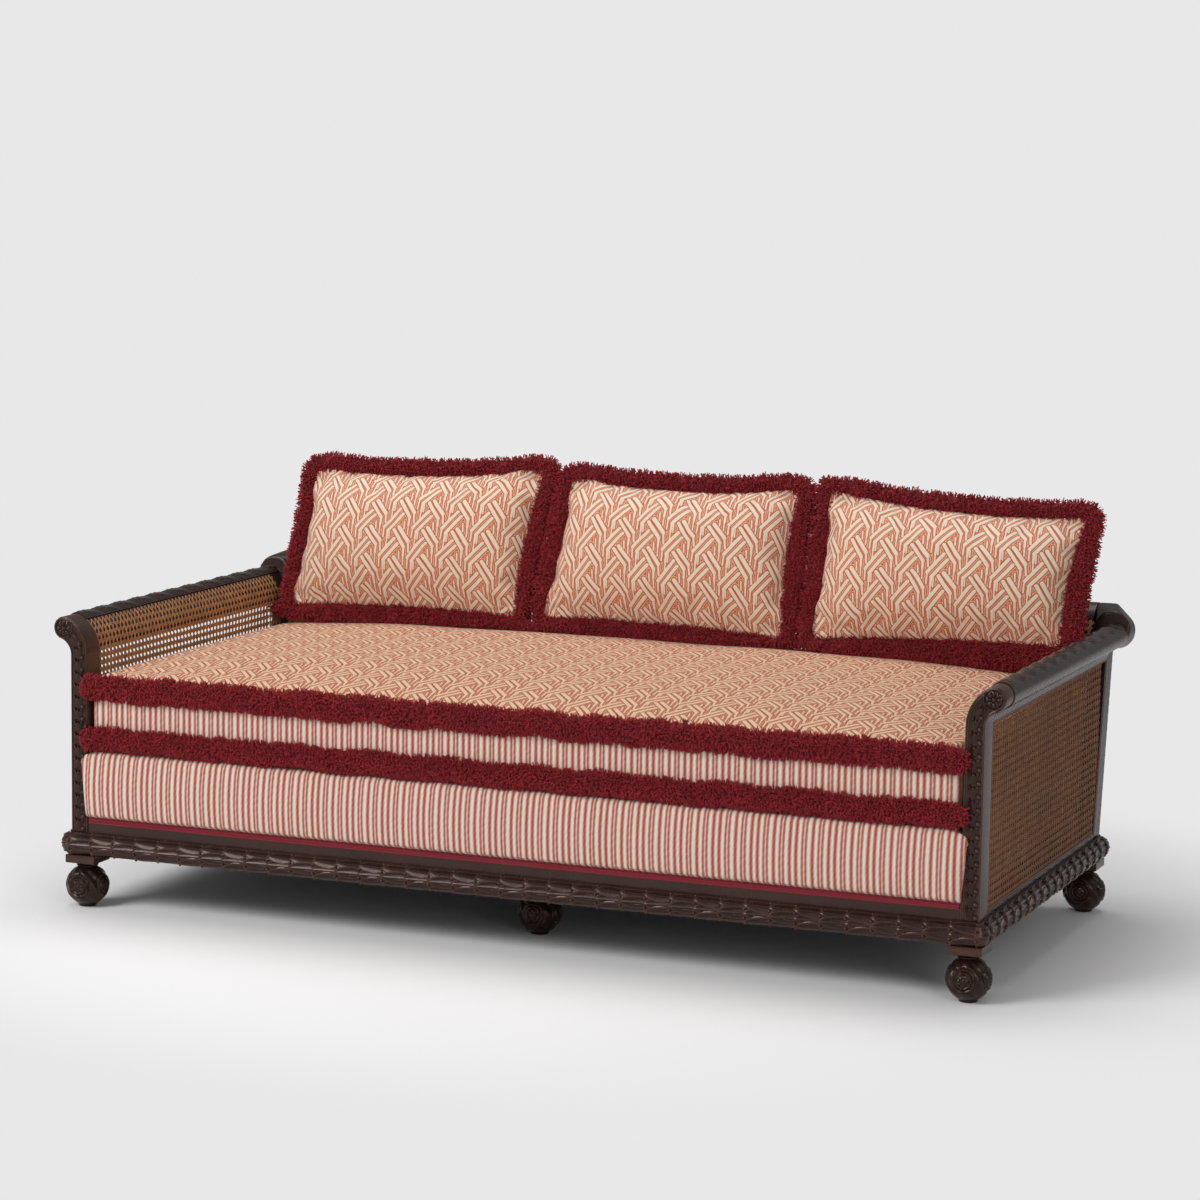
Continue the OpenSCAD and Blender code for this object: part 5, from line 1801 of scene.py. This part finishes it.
@dataclass
class LaurelMoulding:
    """Half-round moulding round the base, carved as overlapping laurel leaves with berries at their tips."""

    rise: float = 142 * MM
    deep: float = 19.8 * MM
    tall: float = 22.6 * MM
    leaf: float = 76 * MM
    half_leaf: float = 17.6 * MM
    periods: int = 57
    corner: float = 22 * MM
    half_y: float = 475 * MM
    row: float = 17.4 * MM
    girth: float = 23.0 * MM
    back_half: float = 24.8 * MM
    widest: float = 0.42
    rib: float = 1.45
    berry: float = 3.2 * MM
    berry_out: float = 8.6 * MM
    berry_at: float = 0.93

    def path(self, walk: np.ndarray) -> tuple[np.ndarray, np.ndarray]:
        """Walks round the base, seen from above against the clock from the front's left end.

        Args:
            walk: Length walked, in metres.

        Returns:
            Points of the frame's edge and directions out of it.
        """
        bend = self.corner * math.pi / 2
        long, short = 2 * HALF_X, 2 * self.half_y
        legs = (((-HALF_X, -self.half_y), (1, 0), (0, -1), long), ((HALF_X, -self.half_y), (0, 1), (1, 0), short),
                ((HALF_X, self.half_y), (-1, 0), (0, 1), long), ((-HALF_X, self.half_y), (0, -1), (-1, 0), short))
        walk = np.mod(walk, 2 * (long + short) + 4 * bend)
        root, out = np.zeros((len(walk), 2)), np.zeros((len(walk), 2))
        start = 0.0
        for origin, run, normal, length in legs:
            here = (walk >= start) & (walk < start + length)
            root[here] = np.array(origin) + np.outer(walk[here] - start, run)
            out[here] = normal
            start += length
            turning = (walk >= start) & (walk < start + bend)
            angle = (walk[turning] - start) / self.corner
            root[turning] = np.array(origin) + length * np.array(run)
            out[turning] = np.outer(np.cos(angle), normal) + np.outer(np.sin(angle), run)
            start += bend
        return root - [0, CENTRE_Y], out

    def length(self) -> float:
        """Length of the walk all round."""
        return 4 * (HALF_X + self.half_y) + 2 * math.pi * self.corner

    def wrap(self, flat: np.ndarray) -> np.ndarray:
        """Lays flat places (walked, across and up) on the moulding."""
        root, out = self.path(flat[:, 0])
        angle = flat[:, 1] / self.girth
        away = (self.deep + flat[:, 2]) * np.cos(angle)
        return np.stack([root[:, 0] + out[:, 0] * away, root[:, 1] + out[:, 1] * away,
                         self.rise + (self.tall + flat[:, 2]) * np.sin(angle)], 1)

    def unit(self) -> bpy.types.Mesh:
        """One leaf with three ribs and a pointed front, and two berries beside its tip."""
        t, b = np.meshgrid(np.linspace(0, 1, 13), np.linspace(-1, 1, 9), indexing="ij")
        arch = np.where(t < self.widest, 0.86 + 0.14 * np.sin(t / self.widest * math.pi / 2),
                        np.cos(np.clip((t - self.widest) / (1 - self.widest), 0, 1) * math.pi / 2) ** 0.80 * 0.96
                        + 0.04)
        across = b * self.half_leaf * arch
        swell = np.sqrt(np.clip(1 - b ** 2, 0, 1))
        ribs = self.rib * np.cos(b * math.pi * 3.0) * (1 - t ** 5)
        height = 0.2 + (0.5 + 4.9 * t ** 1.5) * swell ** 0.8 + ribs * swell
        height *= np.clip((1 - t) / 0.08, 0, 1) ** 0.5
        height -= 0.9 * (np.abs(b) > 0.99)
        made = Soft()
        made.add(*relief_grid(np.stack([-t * self.leaf, across, height * MM], -1), 1.0 * MM))
        made.faces = [f[::-1] for f in made.faces]
        for side in (-1, 1):
            made.add(*pearl((-self.leaf * self.berry_at, side * self.berry_out, 2.4 * MM), self.berry))
        return made.mesh("leaf_unit", 46.0)

    def build(self) -> None:
        """Builds the moulding's core and its leaves."""
        walk = []
        bend = self.corner * math.pi / 2
        start = 0.0
        for length in (2 * HALF_X, 2 * self.half_y) * 2:
            walk += [start, start + length / 2, start + length - 1e-6]
            walk += [start + length + bend * k / 6 for k in range(1, 6)]
            start += length + bend
        walk = np.array(walk)
        angle = np.linspace(-math.pi / 2, math.pi / 2, 17)
        root, out = self.path(walk)
        rings = []
        for (x, y), (nx, ny) in zip(root, out):
            ring = [[x + nx * self.deep * math.cos(a), y + ny * self.deep * math.cos(a),
                     self.rise + self.tall * math.sin(a)] for a in angle]
            ring += [[x - nx * 1.0 * MM, y - ny * 1.0 * MM, self.rise + self.back_half * s] for s in (1, -1)]
            rings.append(ring)
        carve("moulding_core", swept(np.array(rings), closed=True), 35.0, CARVED,
              ("front_moulding", "rear_moulding", "left_moulding", "right_moulding"))
        step = self.length() / self.periods
        counts, steps = (self.periods, 3), ((step, 0, 0), (step / 2, self.row, 0))
        leaves = joined("laurel_leaves", [
            repeated("laurel_leaves", self.unit(), counts, steps, 5, CARVED, (0.02, -self.row, 0.0)),
            repeated("laurel_under", self.unit(), counts, steps, 6, CARVED, (0.02 + step / 2, -self.row, -0.9 * MM))])
        move_points(leaves, self.wrap(mesh_points(leaves)))
        shade(leaves, 46.0)
        show("laurel_leaves", leaves, CARVED, "frame")


def inset_outline(outline: np.ndarray, inset: float) -> np.ndarray:
    """Moves a closed outline, counted against the clock, inward by a distance."""
    ahead = np.roll(outline, -1, 0) - outline
    ahead /= np.maximum(np.linalg.norm(ahead, axis=1), 1e-9)[:, None]
    normal = np.stack([-ahead[:, 1], ahead[:, 0]], 1)
    both = normal + np.roll(normal, 1, 0)
    both /= np.maximum(np.linalg.norm(both, axis=1), 1e-9)[:, None]
    spread = 1 / np.clip((both * normal).sum(1), 0.5, 1)
    return outline + both * (inset * spread)[:, None]


@dataclass
class FrontPost:
    """Front post: a panel that rolls outward at its top, with a run of husks up to a rosette."""

    sign: int
    name: str
    pitch: float = 26.4 * MM
    pearl: float = 5.2 * MM
    pearl_out: float = 11.2 * MM
    front: float = FRONT_Y
    rear: float = POST_BACK_Y

    def to_frame(self, flat: np.ndarray, y: np.ndarray | float) -> np.ndarray:
        """Places outward and up of the section in the frame."""
        return np.stack([self.sign * (INNER_X + flat[..., 0]), np.broadcast_to(y, flat.shape[:-1]),
                         BASE_TOP + flat[..., 1]], -1)

    def body(self) -> None:
        """Builds the post with rounded edges."""
        outline = POST.outline(18)
        rings = []
        for y, inset in ((self.front + 0.2 * MM, 3.2), (self.front + 0.6 * MM, 1.4), (self.front + 1.6 * MM, 0.4),
                         (self.front + 3.2 * MM, 0.0), (self.rear - 0.8 * MM, 0.0), (self.rear, 0.8)):
            rings.append(self.to_frame(inset_outline(outline, inset * MM), y))
        carve(f"{self.name}_post_wood", swept(np.array(rings)), 40.0, CARVED_UPRIGHT,
              (f"front_{self.name}_post",))

    def spine(self) -> np.ndarray:
        """Line between the inner and outer faces, from the foot to the roll's centre."""
        middle = (POST.inner(40) + POST.outer(40)) / 2 + [1.0 * MM, 0]
        return np.concatenate([[[21 * MM, 2 * MM]], middle])

    def husk(self) -> bpy.types.Mesh:
        """One bell-shaped husk with ribs and a rolled lip, and a pearl beside it."""
        t, b = np.meshgrid(np.linspace(0, 1, 12), np.linspace(-1, 1, 13), indexing="ij")
        half = (5.0 + 7.4 * t ** 0.8) * MM
        lip = t - 0.16 * (1 - b ** 2) * t + 0.10 * t * np.cos(b * math.pi * 3)
        height = (1.0 + 5.2 * t ** 1.3) * np.sqrt(np.clip(1 - (b * 0.94) ** 2, 0, 1))
        height += 0.9 * np.cos(b * math.pi * 3) * t + 1.0 * np.exp(-((t - 0.88) / 0.08) ** 2)
        height *= np.where(t > 0.97, 0.45, 1.0)
        made = Soft()
        grid = np.stack([b * half, lip * self.pitch * 1.12, height * MM], -1)
        made.add(*relief_grid(grid, 0.4 * MM))
        made.faces = [f[::-1] for f in made.faces]
        made.add(*pearl((self.pearl_out * self.sign, self.pitch * 0.22, 3.0 * MM), self.pearl))
        return made.mesh("husk_unit", 50.0)

    def husks(self) -> None:
        """Lays the run of husks along the spine."""
        spine = self.spine()
        run, tangent = walked(spine), directions(spine)
        centre = np.array(POST.centre)
        keep = run[np.flatnonzero(np.linalg.norm(spine - centre, axis=1) > 25 * MM)[-1]]
        count = int(keep / self.pitch)
        mesh = repeated(f"{self.name}_husks", self.husk(), (count, 1), ((0, self.pitch, 0), (0, 0, 0)), 4,
                        CARVED_UPRIGHT)
        flat = mesh_points(mesh)
        length = flat[:, 1] * keep / (count * self.pitch)
        u, v, tu, tv = (np.interp(length, run, line) for line in (*spine.T, *tangent.T))
        # The panel narrows in its curve, and the husks with it
        slim = np.interp(length, [keep - 0.10, keep], [1.0, 0.72])
        side = flat[:, 0] * slim
        placed = self.to_frame(np.stack([u + tv * side, v - tu * side], 1), self.front + 0.4 * MM - flat[:, 2])
        move_points(mesh, placed)
        shade(mesh, 50.0)
        show(mesh.name, mesh, CARVED_UPRIGHT, "frame")

    def trims(self) -> None:
        """Builds the thin fillets along both edges of the front face."""
        made = Soft()
        inner = np.concatenate([[[0.0, 1 * MM]], POST.inner(30)])
        outer = np.concatenate([[[POST.panel, 1 * MM]], POST.outer(30)])
        for line, offset, size in ((inner, 2.6, 1.5), (inner, 6.4, 1.3), (outer, -2.6, 1.6)):
            tangent = directions(line)
            shifted = line + np.stack([tangent[:, 1], -tangent[:, 0]], 1) * offset * MM
            path = self.to_frame(shifted, self.front + 0.3 * MM)
            made.add(*swept(bead_rings(path, np.tile([0.0, -1.0, 0.0], (len(path), 1)), size * MM, 8, 1.2)))
        name = f"{self.name}_post_fillets"
        show(name, made.mesh(name), CARVED_UPRIGHT, "frame")

    def rosette(self) -> None:
        """Builds the rosette on the roll's front end: petals round a boss, in a ring."""
        radius = np.concatenate([[0.0001], np.linspace(0.8, 23.0, 24)]) * MM
        angle = np.linspace(0, 2 * math.pi, 64, endpoint=False)
        r, phi = np.meshgrid(radius / MM, angle, indexing="ij")
        boss = 4.6 * np.sqrt(np.clip(1 - (r / 5.2) ** 2, 0, 1))
        lobe = np.abs(np.cos(phi * 4))
        petals = (1.2 + 2.6 * lobe ** 0.7) * np.clip(np.sin((r - 5.0) / 12.6 * math.pi), 0, 1) ** 0.6
        petals += 0.5 * np.cos(phi * 24) * np.clip(np.sin((r - 7.0) / 9.0 * math.pi), 0, 1)
        ring = 2.6 * np.exp(-((r - 20.4) / 1.5) ** 2)
        height = 0.3 + np.maximum(boss, np.where((r > 5.0) & (r < 17.6), petals, 0)) + ring
        height[-1] = -1.0
        flat = np.stack([POST.centre[0] + r * MM * np.cos(phi), POST.centre[1] + r * MM * np.sin(phi)], -1)
        top = self.to_frame(flat, self.front - height * MM)
        rings = np.concatenate([top, self.to_frame(flat[-1:], self.front + 2.5 * MM)])
        carve(f"{self.name}_rosette", swept(rings), 55.0, CARVED_UPRIGHT)

    def build(self) -> None:
        """Builds the post and its carving."""
        self.body()
        self.husks()
        self.trims()
        self.rosette()


@dataclass
class ArmRail:
    """Rolled arm rail, whose top is carved in a running leaf relief."""

    sign: int
    name: str
    lip: float = 461 * MM
    web: float = 393 * MM
    period: float = 80 * MM
    depth: float = 4.4 * MM
    long: float = 0.955
    step: float = 3.4 * MM

    def section(self) -> tuple[np.ndarray, np.ndarray, np.ndarray]:
        """Section outward and up, against the clock, with the share and the place across of the carving."""
        outer, roll, inner = ARM.outer(18), ARM.scroll(74), ARM.inner(60)[::-1]
        outer = outer[outer[:, 1] > self.web]
        face = inner[inner[:, 1] > self.lip]
        low = inner[(inner[:, 1] <= self.lip) & (inner[:, 1] > self.web)] + [4.0 * MM, 0]
        line = np.concatenate([[[36.6 * MM, self.web], [ARM.panel, self.web]], outer, roll[1:-1], face, low])
        share = np.zeros(len(line))
        first = 2 + len(outer)
        top = np.linspace(0, 1, len(roll) - 2 + len(face))
        # The relief covers the roll's top, and leaves its outer side and the lip plain
        share[first:first + len(top)] = np.clip((top - 0.50) / 0.06, 0, 1) * np.clip((0.985 - top) / 0.04, 0, 1)
        band = np.zeros(len(line))
        band[first:first + len(top)] = np.clip((top - 0.50) / 0.485, 0, 1)
        return line, share, band

    def relief(self, y: float, band: np.ndarray) -> np.ndarray:
        """Height of the running leaves, from 0 to 1, at a place along the rail for each place across."""
        phase = y / self.period + 0.24 * np.sin(math.pi * band)
        leaf = np.abs(np.sin(math.pi * phase)) ** 0.75
        curl = 0.5 + 0.5 * np.cos(2 * math.pi * (2.2 * band - 1.1 * np.mod(phase, 1.0)))
        veins = 0.5 + 0.5 * np.cos(2 * math.pi * (6.0 * band + 2.5 * np.mod(phase, 1.0)))
        return 0.15 + 0.60 * leaf * (0.45 + 0.55 * curl) + 0.25 * veins * leaf

    def build(self) -> None:
        """Builds the rail."""
        line, share, band = self.section()
        normal = line - inset_outline(line, 1.0)
        normal /= np.linalg.norm(normal, axis=1)[:, None]
        start = POST_BACK_Y + 0.2 * MM
        rings = []
        for y in np.arange(0.0, self.long, self.step):
            raised = line + normal * (share * (self.relief(y, band) - 0.35) * self.depth)[:, None]
            ring = np.stack([self.sign * (INNER_X + raised[:, 0]), np.full(len(line), start + y),
                             BASE_TOP + raised[:, 1]], 1)
            ring[:, 1] = np.minimum(ring[:, 1], RAKE.face + (ring[:, 2] - BASE_TOP) * math.tan(RAKE.angle) - 0.2 * MM)
            rings.append(ring)
            if (ring[:, 1] < start + y - 1e-6).all():
                break
        carve(f"{self.name}_arm_rail_wood", swept(np.array(rings)), 50.0, Mahogany(Grain.ALONG_Y, carved=True),
              (f"{self.name}_arm_rail",))


@dataclass
class TurnedFoot:
    """Turned ball foot under a square block, with cut medallions and ribs on its ball."""

    name: str
    x: float
    y: float
    around: int = 112
    # Height, half height and radius of the ball, and the stretch that is carved, in millimetres
    middle: float = 46.5
    half: float = 45.6
    girth: float = 46.4
    carved: tuple = (4.5, 86.5)
    # In degrees: radius of each medallion's lattice and of the whole, their pitches, and its middle's height
    lattice: float = 15.4
    medallion: float = 33.0
    lattice_pitch: float = 5.6
    ring_pitch: float = 4.6
    lift: float = 4.0

    def profile(self) -> np.ndarray:
        """Half section as rows of radius and height in millimetres, from the floor up."""
        pad = [(0.5, 0.0), (17.5, 0.0), (19.0, 0.8), (19.2, 3.2)]
        a = np.linspace(-62, 60, 58) * math.pi / 180
        ball = [(self.girth * math.cos(t), self.middle + self.half * math.sin(t)) for t in a]
        neck = [(21.0, 87.4), (20.0, 88.6), (22.6, 89.6), (24.0, 91.6), (22.6, 93.6), (20.2, 94.6), (21.5, 96.0),
                (26.0, 97.4), (33.0, 98.2), (33.0, 99.0), (0.5, 99.0)]
        taper = [(20.0 + (ball[0][0] - 20.0) * t, 3.8 + (ball[0][1] - 3.8) * t) for t in (0.0, 0.5)]
        return np.array(pad + taper + ball + neck)

    def relief(self, phi: np.ndarray, z: np.ndarray) -> np.ndarray:
        """Depth of cutting in millimetres at an angle and a height."""
        level = (z - self.middle) / self.half
        lat = np.degrees(np.arcsin(np.clip(level, -1, 1)))
        turn = np.degrees(phi)
        near = (turn + 45) % 90 - 45
        level_arc = near * np.cos(np.radians(lat))
        far = np.hypot(level_arc, lat - self.lift)
        lattice = 1.1 * (np.cos((level_arc + lat - self.lift) * math.pi / self.lattice_pitch)
                         + np.cos((level_arc - lat + self.lift) * math.pi / self.lattice_pitch))
        rings = 2.2 * np.cos((far - 20) * math.pi / self.ring_pitch)
        discs = np.where(far < self.lattice, lattice, rings)
        ribs = 1.7 * np.cos(np.radians((turn + lat * 0.9) * 9.0))
        gadroons = 1.5 * (np.abs(np.cos(np.radians(turn * 6))) ** 0.8 - 0.6)
        inside = np.clip((self.medallion - far) / 2.5, 0, 1)
        low = np.clip((-33 - lat) / 6, 0, 1)
        cut = discs * inside + ribs * (1 - inside) * (1 - low)
        cut = cut - 2.2 * np.exp(-((far - self.medallion - 1) / 1.8) ** 2)
        cut = cut * (1 - low * (1 - inside)) + gadroons * low * (1 - inside)
        start, end = self.carved
        return cut * ((z > start) & (z < end)) * np.clip((end - z) / 3, 0, 1) * np.clip((z - start) / 3, 0, 1)

    def build(self) -> None:
        """Builds the foot and its block."""
        girth, level = self.profile().T[..., None]
        angle = np.linspace(0, 2 * math.pi, self.around, endpoint=False)
        radius = girth + self.relief(angle[None, :], level) * 0.8 - (
            0.7 * ((level > self.carved[0]) & (level < self.carved[1])))
        rings = np.stack([self.x + radius * MM * np.cos(angle), self.y + radius * MM * np.sin(angle),
                          np.broadcast_to(level * MM, radius.shape)], -1)
        made = Soft()
        made.add(*swept(rings))
        block = []
        for z, half in ((98.2, 33.0), (98.9, 34.4), (100.4, 35.0), (114.6, 35.0), (116.1, 34.4), (116.9, 33.0)):
            block.append([[self.x + sx * half * MM, self.y + sy * half * MM, z * MM]
                          for sx, sy in ((-1, -1), (1, -1), (1, 1), (-1, 1))])
        made.add(*swept(np.array(block)))
        show(f"{self.name}_turned", made.mesh(f"{self.name}_turned", 38.0), CARVED_UPRIGHT, "frame",
             (self.name,))


@dataclass
class Woodwork:
    """The whole show-wood frame: carved pieces built here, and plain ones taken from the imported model."""

    along_x: tuple = ("front_base_rail", "rear_base_rail", "fascia_rail", "back_top_rail", "back_foot_rail")
    along_y: tuple = ("left_base_rail", "right_base_rail", "centre_bearer", "left_arm_foot_rail",
                      "right_arm_foot_rail")
    along_z: tuple = ("back_centre_stile", "rear_left_post", "rear_right_post", "corner_blocks")

    def plain(self) -> None:
        """Finishes the nodes that keep their packed form."""
        for names, grain in ((self.along_x, Grain.ALONG_X), (self.along_y, Grain.ALONG_Y),
                             (self.along_z, Grain.ALONG_Z)):
            for name in names:
                dress(frame, name, Mahogany(grain), 1.0 * MM)
        for name in ("rear_left_post", "rear_right_post"):
            rounding = frame["nodes"][name].modifiers
            rounding.clear()
            solid = rounding.new("solid", "REMESH")
            solid.mode, solid.voxel_size, solid.use_smooth_shade = "VOXEL", 3.2 * MM, True
            ease = rounding.new("ease", "SMOOTH")
            ease.factor, ease.iterations = 0.5, 7
        for name in ("corner_screws", "foot_bolts", "coil_springs"):
            dress(frame, name, Steel())
        dress(frame, "frame_dowels", BEECH)
        dress(frame, "dust_cloth", LINING)
        for name in ("webbing", "spring_hessian"):
            dress(frame, name, HESSIAN)

    def build(self) -> None:
        """Builds the frame."""
        self.plain()
        LaurelMoulding().build()
        for sign, name in ((-1, "left"), (1, "right")):
            FrontPost(sign, name).build()
            ArmRail(sign, name).build()
        for name, x, y in (("front_left_foot", -1.0, -0.45), ("front_right_foot", 1.0, -0.45),
                           ("rear_left_foot", -1.0, 0.45), ("rear_right_foot", 1.0, 0.45),
                           ("front_middle_foot", 0.0, -0.272), ("rear_middle_foot", 0.0, 0.272)):
            TurnedFoot(name, x, y - CENTRE_Y).build()


@dataclass(frozen=True)
class Studio:
    """Pale seamless floor, a large soft light from the upper left, and the camera."""

    lens: float = 109.0019
    place: tuple = (2.949628, -7.305117, 1.763065)
    yaw: float = 0.383963
    pitch: float = 0.136842
    roll: float = 0.014332
    pale: tuple = (0.83, 0.83, 0.835)
    air: float = 0.28
    even: tuple = (0.806, 0.806, 0.806)
    floor_radius: float = 30.0
    floor_sides: int = 64
    # Where the floor fades into the even tone, in units that the axes stretch
    fade: tuple = (0.56, 0.98)
    fade_axes: tuple = (0.50, 0.55, 0.9)
    # Name, place, point that it faces, width and height, and watts of each soft lamp
    lamps: tuple = (("key_softbox", (-3.2, -4.6, 4.2), (0.0, 0.0, 0.35), (3.2, 2.6), 262.0),
                    ("fill_softbox", (4.8, -4.6, 2.6), (0.2, 0.0, 0.4), (3.0, 3.0), 92.0),
                    ("top_softbox", (-0.4, 0.9, 4.6), (0.0, 0.0, 0.3), (4.5, 2.6), 108.0))

    def camera(self) -> None:
        """Sets the camera that was fitted to the photograph."""
        ahead = Vector((-math.sin(self.yaw) * math.cos(self.pitch), math.cos(self.yaw) * math.cos(self.pitch),
                        -math.sin(self.pitch)))
        right = Vector((math.cos(self.yaw), math.sin(self.yaw), 0.0))
        up = right.cross(ahead)
        level = math.cos(self.roll) * right + math.sin(self.roll) * up
        upright = -math.sin(self.roll) * right + math.cos(self.roll) * up
        data = bpy.data.cameras.new("photo_camera")
        data.sensor_width, data.lens, data.clip_end = 36.0, self.lens, 100.0
        camera = bpy.data.objects.new("photo_camera", data)
        turn = Matrix((level, upright, -ahead)).transposed().to_4x4()
        camera.matrix_world = Matrix.Translation(self.place) @ turn
        bpy.context.scene.collection.objects.link(camera)
        bpy.context.scene.camera = camera

    def floor(self) -> None:
        """Lays a wide flat floor, which the camera sees running into the background without a line."""
        sides = self.floor_sides
        angle = np.linspace(0, 2 * math.pi, sides, endpoint=False)
        ring = np.stack([np.cos(angle), np.sin(angle), np.zeros(sides)], 1)
        mesh = shell("studio_floor", np.concatenate([[[0.0, 0.0, 0.0]], ring * self.floor_radius]),
                     [[0, i + 1, (i + 1) % sides + 1] for i in range(sides)], 60.0)
        g = Graph("studio_paper")
        # Far from the sofa the camera sees the paper at one even tone, and near it the paper as it is lit
        far = g.node("VectorMath", {"operation": "LENGTH"}, {0: g.place().scaled(self.fade_axes)}, 1)
        seen = g.node("LightPath", output="Is Camera Ray") * far.step(*self.fade)
        paper = g.node("BsdfPrincipled", None,
                       {"Base Color": (*self.pale, 1.0), "Roughness": 0.9, "Specular IOR Level": 0.1})
        even = g.node("Emission", None, {"Color": (*self.even, 1.0), "Strength": 1.0})
        both = g.node("MixShader", None, {0: seen, 1: paper, 2: even})
        g.node("OutputMaterial", None, {"Surface": both})
        mesh.materials.append(g.material)
        piece = bpy.data.objects.new("studio_floor", mesh)
        bpy.context.scene.collection.objects.link(piece)

    @staticmethod
    def lamp(name: str, place: tuple, aim: tuple, size: tuple, watts: float) -> None:
        """Hangs one soft lamp.

        Args:
            name: Name of the lamp.
            place: Where it hangs.
            aim: Point that it faces.
            size: Width and height of its face.
            watts: Its strength.
        """
        data = bpy.data.lights.new(name, "AREA")
        data.shape, data.size, data.size_y, data.energy = "RECTANGLE", *size, watts
        data.spread = math.pi
        lamp = bpy.data.objects.new(name, data)
        lamp.location = place
        lamp.rotation_euler = (Vector(place) - Vector(aim)).to_track_quat("Z", "Y").to_euler()
        bpy.context.scene.collection.objects.link(lamp)

    def light(self) -> None:
        """Sets the lamps and the soft light from all round."""
        for lamp in self.lamps:
            self.lamp(*lamp)
        world = bpy.data.worlds.new("studio_air")
        world.use_nodes = True
        tree = world.node_tree
        air = tree.nodes["Background"]
        air.inputs["Color"].default_value = (1.0, 1.0, 1.0, 1.0)
        path = tree.nodes.new("ShaderNodeLightPath")
        seen = tree.nodes.new("ShaderNodeMapRange")
        tree.links.new(path.outputs["Is Camera Ray"], seen.inputs["Value"])
        seen.inputs["To Min"].default_value, seen.inputs["To Max"].default_value = self.air, self.even[0]
        tree.links.new(seen.outputs["Result"], air.inputs["Strength"])
        bpy.context.scene.world = world

    def build(self) -> None:
        """Builds the whole studio."""
        scene = bpy.context.scene
        scene.view_settings.view_transform = "Standard"
        self.camera()
        self.floor()
        self.light()


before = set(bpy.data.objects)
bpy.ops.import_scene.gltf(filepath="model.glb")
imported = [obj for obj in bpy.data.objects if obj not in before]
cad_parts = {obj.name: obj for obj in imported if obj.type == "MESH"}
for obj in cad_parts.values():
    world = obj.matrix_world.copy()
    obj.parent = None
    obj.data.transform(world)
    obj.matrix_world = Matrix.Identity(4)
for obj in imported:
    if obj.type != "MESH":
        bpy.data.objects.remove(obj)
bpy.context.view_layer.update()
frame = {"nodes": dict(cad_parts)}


def main() -> None:
    """Builds, dresses and lights the sofa."""
    logging.basicConfig(level=logging.INFO, format="%(message)s")
    Woodwork().build()
    CaneWork().build()
    SprungBase().build()
    seat = Mattress()
    seat.build()
    for cushion in (
            BackCushion("left", 0, ((-14, 0), (0, 7), (20, 24), (-6, -4)), -642 * MM),
            BackCushion("middle", 1, ((-17, 10), (8, -1), (2, 8), (4, 7)), 8 * MM),
            BackCushion("right", 2, ((-12, 5), (-2, 25), (22, -20), (-13, 12)), 658 * MM)):
        cushion.build(seat)
    Studio().build()


if __name__ == "__main__":
    main()
